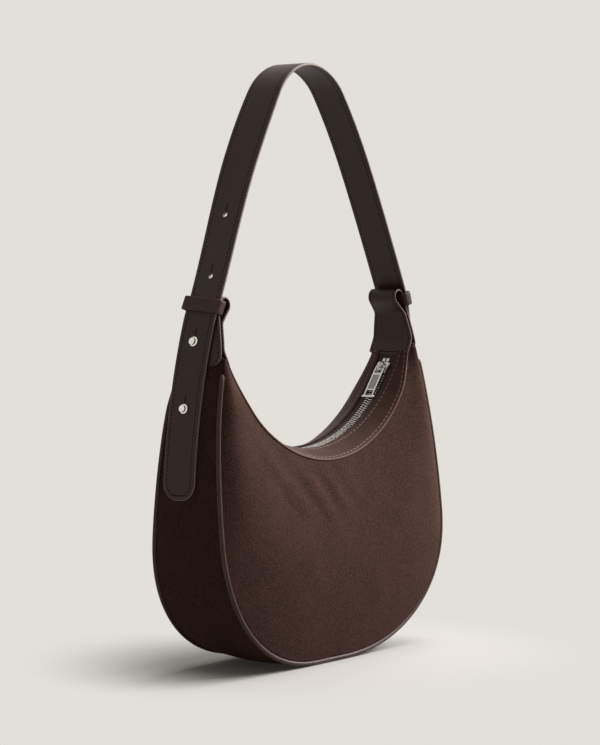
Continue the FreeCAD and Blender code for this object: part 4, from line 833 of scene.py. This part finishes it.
leans = np.linspace(leave_lean + 1, STEEPEST, LEAN_TRIES)
low_x = turn_x + TURN_RADIUS * (np.cos(np.radians(leans)) - np.cos(np.radians(leave_lean)))
low_z = turn_z + TURN_RADIUS * (np.sin(np.radians(leans)) - np.sin(np.radians(leave_lean)))
high = np.radians(leans + SIDE_BOW)
high_x, high_z = TOP_RADIUS * np.cos(high), APEX_Z - TOP_RADIUS * (1 - np.sin(high))
miss = low_x - high_x - (high_z - low_z) * np.tan(np.radians(leans + SIDE_BOW / 2))
best = np.argmin(np.abs(miss))
chord = np.hypot(low_x[best] - high_x[best], high_z[best] - low_z[best])
half_steps = lower_steps + [
    (TURN_RADIUS, leans[best] - leave_lean),
    (chord / (2 * np.sin(np.radians(SIDE_BOW / 2))), SIDE_BOW),
    (TOP_RADIUS, 90 - leans[best] - SIDE_BOW),
]
strap_path = walk(tail_x, TAIL_Z, 90 + tail_lean, half_steps + half_steps[::-1], STRAP_STEP)
strap_length = strap_path[3, -1]
round_rows = 1 - np.cos(np.linspace(0, np.pi / 2, ROUND_STEPS))
fine_ends = np.append(TAIL_ROUND * round_rows, TAIL_ROUND + 2)
strap_rows = np.arange(TAIL_ROUND + 4, strap_length - TAIL_ROUND - 3, STRAP_STEP)
along = np.unique(np.concatenate([fine_ends, strap_rows, strap_length - fine_ends]))
strap_path = np.stack([np.interp(along, strap_path[3], row) for row in strap_path])
into_tail = np.maximum(TAIL_ROUND - np.minimum(along, strap_length - along), 0)
rounding = TAIL_ROUND - np.sqrt(np.maximum(TAIL_ROUND**2 - into_tail**2, 0))
strap_points, strap_across = strip_points(strap_path, STRAP_HALF - rounding, STRAP_WALL)
strap_marks = joined(along[:, None], strap_across)

strap_leather, strap_shader, strap_place = finish_of("strap_leather", {**COATED, "Roughness": STRAP_ROUGH})
strap_along, off_middle = marks_of(strap_place)
from_tail = strap_along.math("MINIMUM", strap_length - strap_along)
past_side = (off_middle.math("ABSOLUTE") - (STRAP_HALF - TAIL_ROUND)).math("MAXIMUM", 0.0)
past_end = (TAIL_ROUND - from_tail).math("MAXIMUM", 0.0)
edge_distance = TAIL_ROUND - (past_side * past_side + past_end * past_end).math("SQRT")
# The slits above the studs and spare holes are not cut in the mesh: they are painted shade, a near-black
# colour without coat.
left_slits = [strap_length - place - SLIT_LENGTH for place in STUD_PLACES + SPARE_PLACES]
cuts = 0.0
for start in (*STUD_PLACES, *left_slits):
    end = start + SLIT_LENGTH
    cuts = cuts + strap_along.step(start - SLIT_SOFT, start) * (1 - strap_along.step(end, end + SLIT_SOFT))
slits = cuts * (1 - off_middle.math("ABSOLUTE").step(SLIT_HALF - SLIT_BLUR, SLIT_HALF))
strap_hide = sewn_leather(
    strap_shader,
    strap_place,
    from_tail / STRAP_PITCH,
    edge_distance,
    STRAP_ROW,
    STRAP_HIDE,
    DARK_THREAD,
    STRAP_EDGE_PAINT_AND_HIGHLIGHT,
    STRAP_SHINE * (1 - slits),
)
slits.blend(strap_hide, STITCH_GROOVE_AND_SLIT_SHADE).into(strap_shader, "Base Color")


def swayed(points):
    """The strap hangs askew: its left tail lies to the back of the gusset's middle, it passes the left
    keeper to the front of it, and above that it leans to the left, bulges to both sides by a sine of
    its height and twists a little on the left."""
    z, left = points[..., 2], points[..., 0] < 0
    rise = np.clip((z - SWAY_LOW) / (SWAY_TOP - SWAY_LOW), 0, 1) ** SWAY_POWER
    sway = TAIL_SWAY + (NECK_SWAY - TAIL_SWAY) * rise
    lift = np.clip((z - SWAY_TOP) / (APEX_Z - SWAY_TOP), 0, 1)
    bulge = np.where(left, -LEFT_BULGE - LEFT_TWIST * points[..., 1], RIGHT_BULGE)
    moved = points.copy()
    moved[..., 1] += sway * eased(z, SWAY_GONE, SWAY_TOP) * left
    moved[..., 0] += bulge * np.sin(np.pi * lift**2) - TOP_SHIFT * eased(z, SWAY_TOP, APEX_Z)
    return moved


strap = surface("strap_leather", swayed(strap_points), strap_marks, strap_leather)


def strap_frame(distance):
    """Place on the strap's middle line at a distance from the right tail, its way and its outside."""
    x, z, heading = [np.interp(distance, strap_path[3], row) for row in strap_path[:3]]
    way, inside = plane_axes(heading)
    return np.array([x, 0, z]), way, -inside


hole_turn = full_turn(HOLE_SIDES)[None, :, None]
cutters = []
for place in SPARE_PLACES:
    middle, way, out = strap_frame(strap_length - place)
    rim = HOLE_RADIUS * (np.cos(hole_turn) * way + np.sin(hole_turn) * ACROSS)
    cutters.append(swayed(middle + rim + np.array([-1, 1])[:, None, None] * 2 * STRAP_WALL * out))
punch = surface("hole_punch", np.stack(cutters), np.zeros(2), strap_leather)
punching = strap.modifiers.new("holes", "BOOLEAN")
punching.object = punch
punching.operation = "DIFFERENCE"
punching.solver = "EXACT"
scene_state = bpy.context.evaluated_depsgraph_get()
punched = bpy.data.meshes.new_from_object(
    strap.evaluated_get(scene_state), preserve_all_data_layers=True, depsgraph=scene_state
)
strap.modifiers.clear()
strap.data = punched
bpy.data.objects.remove(punch)
fixed(strap, "bag", "leather", "strap", "strap_backing")

# Horn tabs: a leather strip on each horn, up its outside, over in a loop that holds the keeper, and
# down again beside itself onto the end of the zip.
TAB_WALL, TAB_NECK, TAB_FOOT = 1.8, 14.5, 21.2
FLARE_TOP, FLARE_LOW = 303.0, 257.0
TAB_FOOT_Z, TAB_INNER_Z, TAB_PART_Z = 252.0, 249.0, 267.0
OUTER_ROUND, FOOT_BOW = 9.0, 3.2
PART_RADIUS, LOOP_RADIUS, NECK_RADIUS, LOOP_CLOSE, TAB_FALL = 10.0, 5.9, 8.0, 35.0, 63.0
SCREW_WALL, KEEPER_Z, KEEPER_HEIGHT, KEEPER_WALL = 1.2, 298.5, 11.5, 1.8
TAB_STEP, FOOT_BARE, TAB_ROUGH = 1.2, 0.3, 0.5
TAB_EDGE = colour(132, 110, 100)


def tab_walk(steps):
    """Path of the right tab from its outer foot: the steps that walk takes."""
    return walk(foot_x, foot_z, 90 + leave_lean, steps, TAB_STEP)


# The strip runs straight up from its outer foot and bends with the strap. It turns over in the loop,
# closes at the neck, runs down beside itself and parts again. Each straight run is as long as it takes
# to reach the next of these levels.
tab_inset = STRAP_WALL / 2 + STRAP_GAP + TAB_WALL / 2
lean = np.radians(leave_lean)
foot_back = (TURN_Z - TAB_FOOT_Z) / np.cos(lean)
foot_x = turn_x - tab_inset * np.cos(lean) + foot_back * np.sin(lean)
foot_z = turn_z - tab_inset * np.sin(lean) - foot_back * np.cos(lean)
leg_bend = TURN_RADIUS - tab_inset
loop_rise = KEEPER_Z + KEEPER_HEIGHT / 2 - KEEPER_WALL - TURN_Z
loop_lean = np.degrees(np.arcsin(np.sin(lean) + loop_rise / leg_bend))
over = [
    (foot_back, 0.0),
    (leg_bend, loop_lean - leave_lean),
    (LOOP_RADIUS, 180 + leave_lean + LOOP_CLOSE - loop_lean),
]
loop_x, loop_z = tab_walk(over)[:2, -1]
loop_away = (foot_x - loop_x) * np.cos(lean) + (foot_z - loop_z) * np.sin(lean)
leg_spacing = TAB_WALL + SCREW_WALL + 2 * STRAP_GAP
close = np.radians(LOOP_CLOSE)
neck_run = (loop_away - leg_spacing - NECK_RADIUS * (1 - np.cos(close))) / np.sin(close)
over += [(neck_run, 0.0), (NECK_RADIUS, -LOOP_CLOSE)]
neck_z = tab_walk(over)[1, -1]
over += [((neck_z - TAB_PART_Z) / np.cos(lean), 0.0), (PART_RADIUS, TAB_FALL - 90 - leave_lean)]
part_z = tab_walk(over)[1, -1]
over += [((part_z - TAB_INNER_Z) / np.sin(np.radians(TAB_FALL)), 0.0)]
tab_path = tab_walk(over)
tab_length = tab_path[3, -1]
even_rows = np.arange(OUTER_ROUND + 1, tab_length - FOOT_BOW - 0.5, TAB_STEP)
foot_rows = (tab_length - FOOT_BOW * round_rows)[::-1]
tab_rows = np.concatenate([OUTER_ROUND * round_rows, even_rows, foot_rows])
tab_path = np.stack([np.interp(tab_rows, tab_path[3], row) for row in tab_path])
tab_half = TAB_NECK + (TAB_FOOT - TAB_NECK) * eased(tab_path[1], FLARE_TOP, FLARE_LOW)
round_end = np.clip(1 - tab_rows / OUTER_ROUND, 0, 1)
bowed_end = np.clip(1 - (tab_length - tab_rows) / FOOT_BOW, 0, 1)
tab_width = tab_half - OUTER_ROUND * (1 - np.sqrt(1 - round_end**2))
tab_width = np.maximum(tab_width * np.sqrt(1 - bowed_end**2), TAB_WALL / 2)
tab_points, tab_across = strip_points(tab_path, tab_width, TAB_WALL)
from_side = tab_width[:, None] - np.abs(tab_across)
foot_bow = FOOT_BOW * (1 - np.sqrt(np.maximum(1 - (tab_across / tab_half[:, None]) ** 2, 0)))
tab_edge = np.minimum(from_side, (tab_length - tab_rows)[:, None] - foot_bow + FOOT_BARE)
tab_marks = joined(tab_rows[:, None], tab_edge)

tab_leather = sewn_finish(
    "tab_leather", TAB_ROUGH, STRAP_PITCH, STRAP_HIDE, DARK_THREAD, TAB_EDGE, STRAP_SHINE
)
for name, hand in (("right_tab", 1), ("left_tab", -1)):
    mirrored = leaned(tab_points * np.array([hand, 1, 1]))
    fixed(surface(f"{name}_leather", mirrored, tab_marks, tab_leather), "bag", "leather", name)

# Keepers: a leather band through each tab's loop and round the strap, sewn into a ring, that holds both
# together. The left one sits a little higher and askew.
KEEPER_SLACK, KEEPER_CORNER = 0.9, 2.2
KEEPER_LIFT, KEEPER_TILT, KEEPER_SHINE = 2.0, 0.09, 0.25
KEEPER_ROWS, KEEPER_COLUMNS = 40, 9
KEEPER_BROWN, KEEPER_WORN = colour(66, 48, 42), colour(86, 62, 53)

keeper_turn = np.arcsin(np.sin(lean) + (KEEPER_Z - TURN_Z) / TURN_RADIUS)
keeper_x = turn_x + TURN_RADIUS * (np.cos(keeper_turn) - np.cos(lean))
keeper_out, keeper_way = plane_axes(keeper_turn)
rim_side = STRAP_HALF + KEEPER_SLACK + KEEPER_WALL / 2
rim_out = STRAP_WALL / 2 + KEEPER_SLACK + KEEPER_WALL / 2
rim_in = rim_out + STRAP_GAP + TAB_WALL
# The ring is a rectangle with round corners about the strap, at right angles to it. The band's section
# is carried round it.
ring_turn = full_turn(KEEPER_ROWS)[:, None]
ring_cos, ring_sin = np.cos(ring_turn), np.sin(ring_turn)
ring_side = np.sign(ring_cos) * (rim_side - KEEPER_CORNER) + KEEPER_CORNER * ring_cos
ring_level = np.where(ring_sin > 0, rim_out - KEEPER_CORNER, KEEPER_CORNER - rim_in)
ring_out = ring_level + KEEPER_CORNER * ring_sin
share, cosine, sine = bar_section(KEEPER_COLUMNS)
rim = KEEPER_WALL / 2
height = share * (KEEPER_HEIGHT / 2 - rim) + cosine * rim
offsets = joined(ring_out + ring_sin * sine * rim, ring_side + ring_cos * sine * rim, height)
keeper_turned = np.stack([keeper_out, ACROSS, keeper_way])
keeper_points = np.array([keeper_x, 0, KEEPER_Z]) + offsets @ keeper_turned
keeper_leather = dyed_finish("keeper_leather", KEEPER_BROWN, KEEPER_WORN, HIDE_ROUGH, KEEPER_SHINE)
for name, hand in (("right_keeper", 1), ("left_keeper", -1)):
    mirrored = swayed(keeper_points * np.array([hand, 1, 1]))
    mirrored[..., 2] += (KEEPER_LIFT + KEEPER_TILT * mirrored[..., 1]) * (hand < 0)
    keeper = surface(f"{name}_leather", mirrored, np.zeros(2), keeper_leather, loop=True)
    fixed(keeper, "bag", "leather", name)

# Studs: turned and polished heads, a low cap on a round flange, on short posts that the holes near the
# strap's tails button over.
STUD_RADIUS, STUD_POST, STUD_DEPTH, FLANGE_RISE = 4.1, 2.0, 4.0, 1.1
CAP_RADIUS, CAP_EDGE, CAP_RISE, CAP_POWER, CAP_FILLET = 2.9, 3.0, 3.8, 0.6, 0.1
STUD_ROUND, STUD_TIP, STUD_LIFT, STUD_SIDES, CAP_STEPS = 0.3, 0.05, 0.1, 32, 9
STUD_SILVER, STUD_WORN, STUD_ROUGH = colour(248, 246, 242), colour(226, 223, 218), 0.04

# Half of the head's outline, as radii and heights: the post, the flange with its round edge and the
# cap, whose radius is a power of a cosine.
arc = np.linspace(0, np.pi / 2, CAP_STEPS)
flange_edge = STUD_RADIUS - STUD_ROUND
flange_r = [STUD_TIP, STUD_POST, STUD_POST, flange_edge, STUD_RADIUS, flange_edge]
flange_h = [-STUD_DEPTH, -STUD_DEPTH, 0.0, 0.0, FLANGE_RISE / 2, FLANGE_RISE]
fillet_r = [CAP_RADIUS + CAP_FILLET / 2, CAP_RADIUS]
fillet_h = [FLANGE_RISE + CAP_FILLET, FLANGE_RISE + 2 * CAP_FILLET]
head_r = np.concatenate([flange_r, fillet_r, CAP_RADIUS * np.cos(arc) ** CAP_POWER])[:, None, None]
head_h = np.concatenate([flange_h, fillet_h, CAP_EDGE + (CAP_RISE - CAP_EDGE) * np.sin(arc)])[:, None, None]
head_r[-1] = STUD_TIP
stud_turn = full_turn(STUD_SIDES)[None, :, None]
heads = []
for place in STUD_PLACES:
    for distance in (place, strap_length - place):
        middle, way, out = strap_frame(distance)
        rim = head_r * (np.cos(stud_turn) * way + np.sin(stud_turn) * ACROSS)
        heads.append(swayed(middle + rim + (head_h + STRAP_WALL / 2 + STUD_LIFT) * out))
stud_metal = metal_finish("stud_metal", STUD_ROUGH, STUD_SILVER, STUD_WORN)
studs = surface("strap_studs_heads", np.stack(heads), np.zeros(2), stud_metal)
fixed(studs, "bag", "metal", "strap_studs")

# Stud screws: flat metal heads that hold the studs from behind, under the tabs and inside the lining.
# The solids are used as they are.
plated("stud_screws", stud_metal)
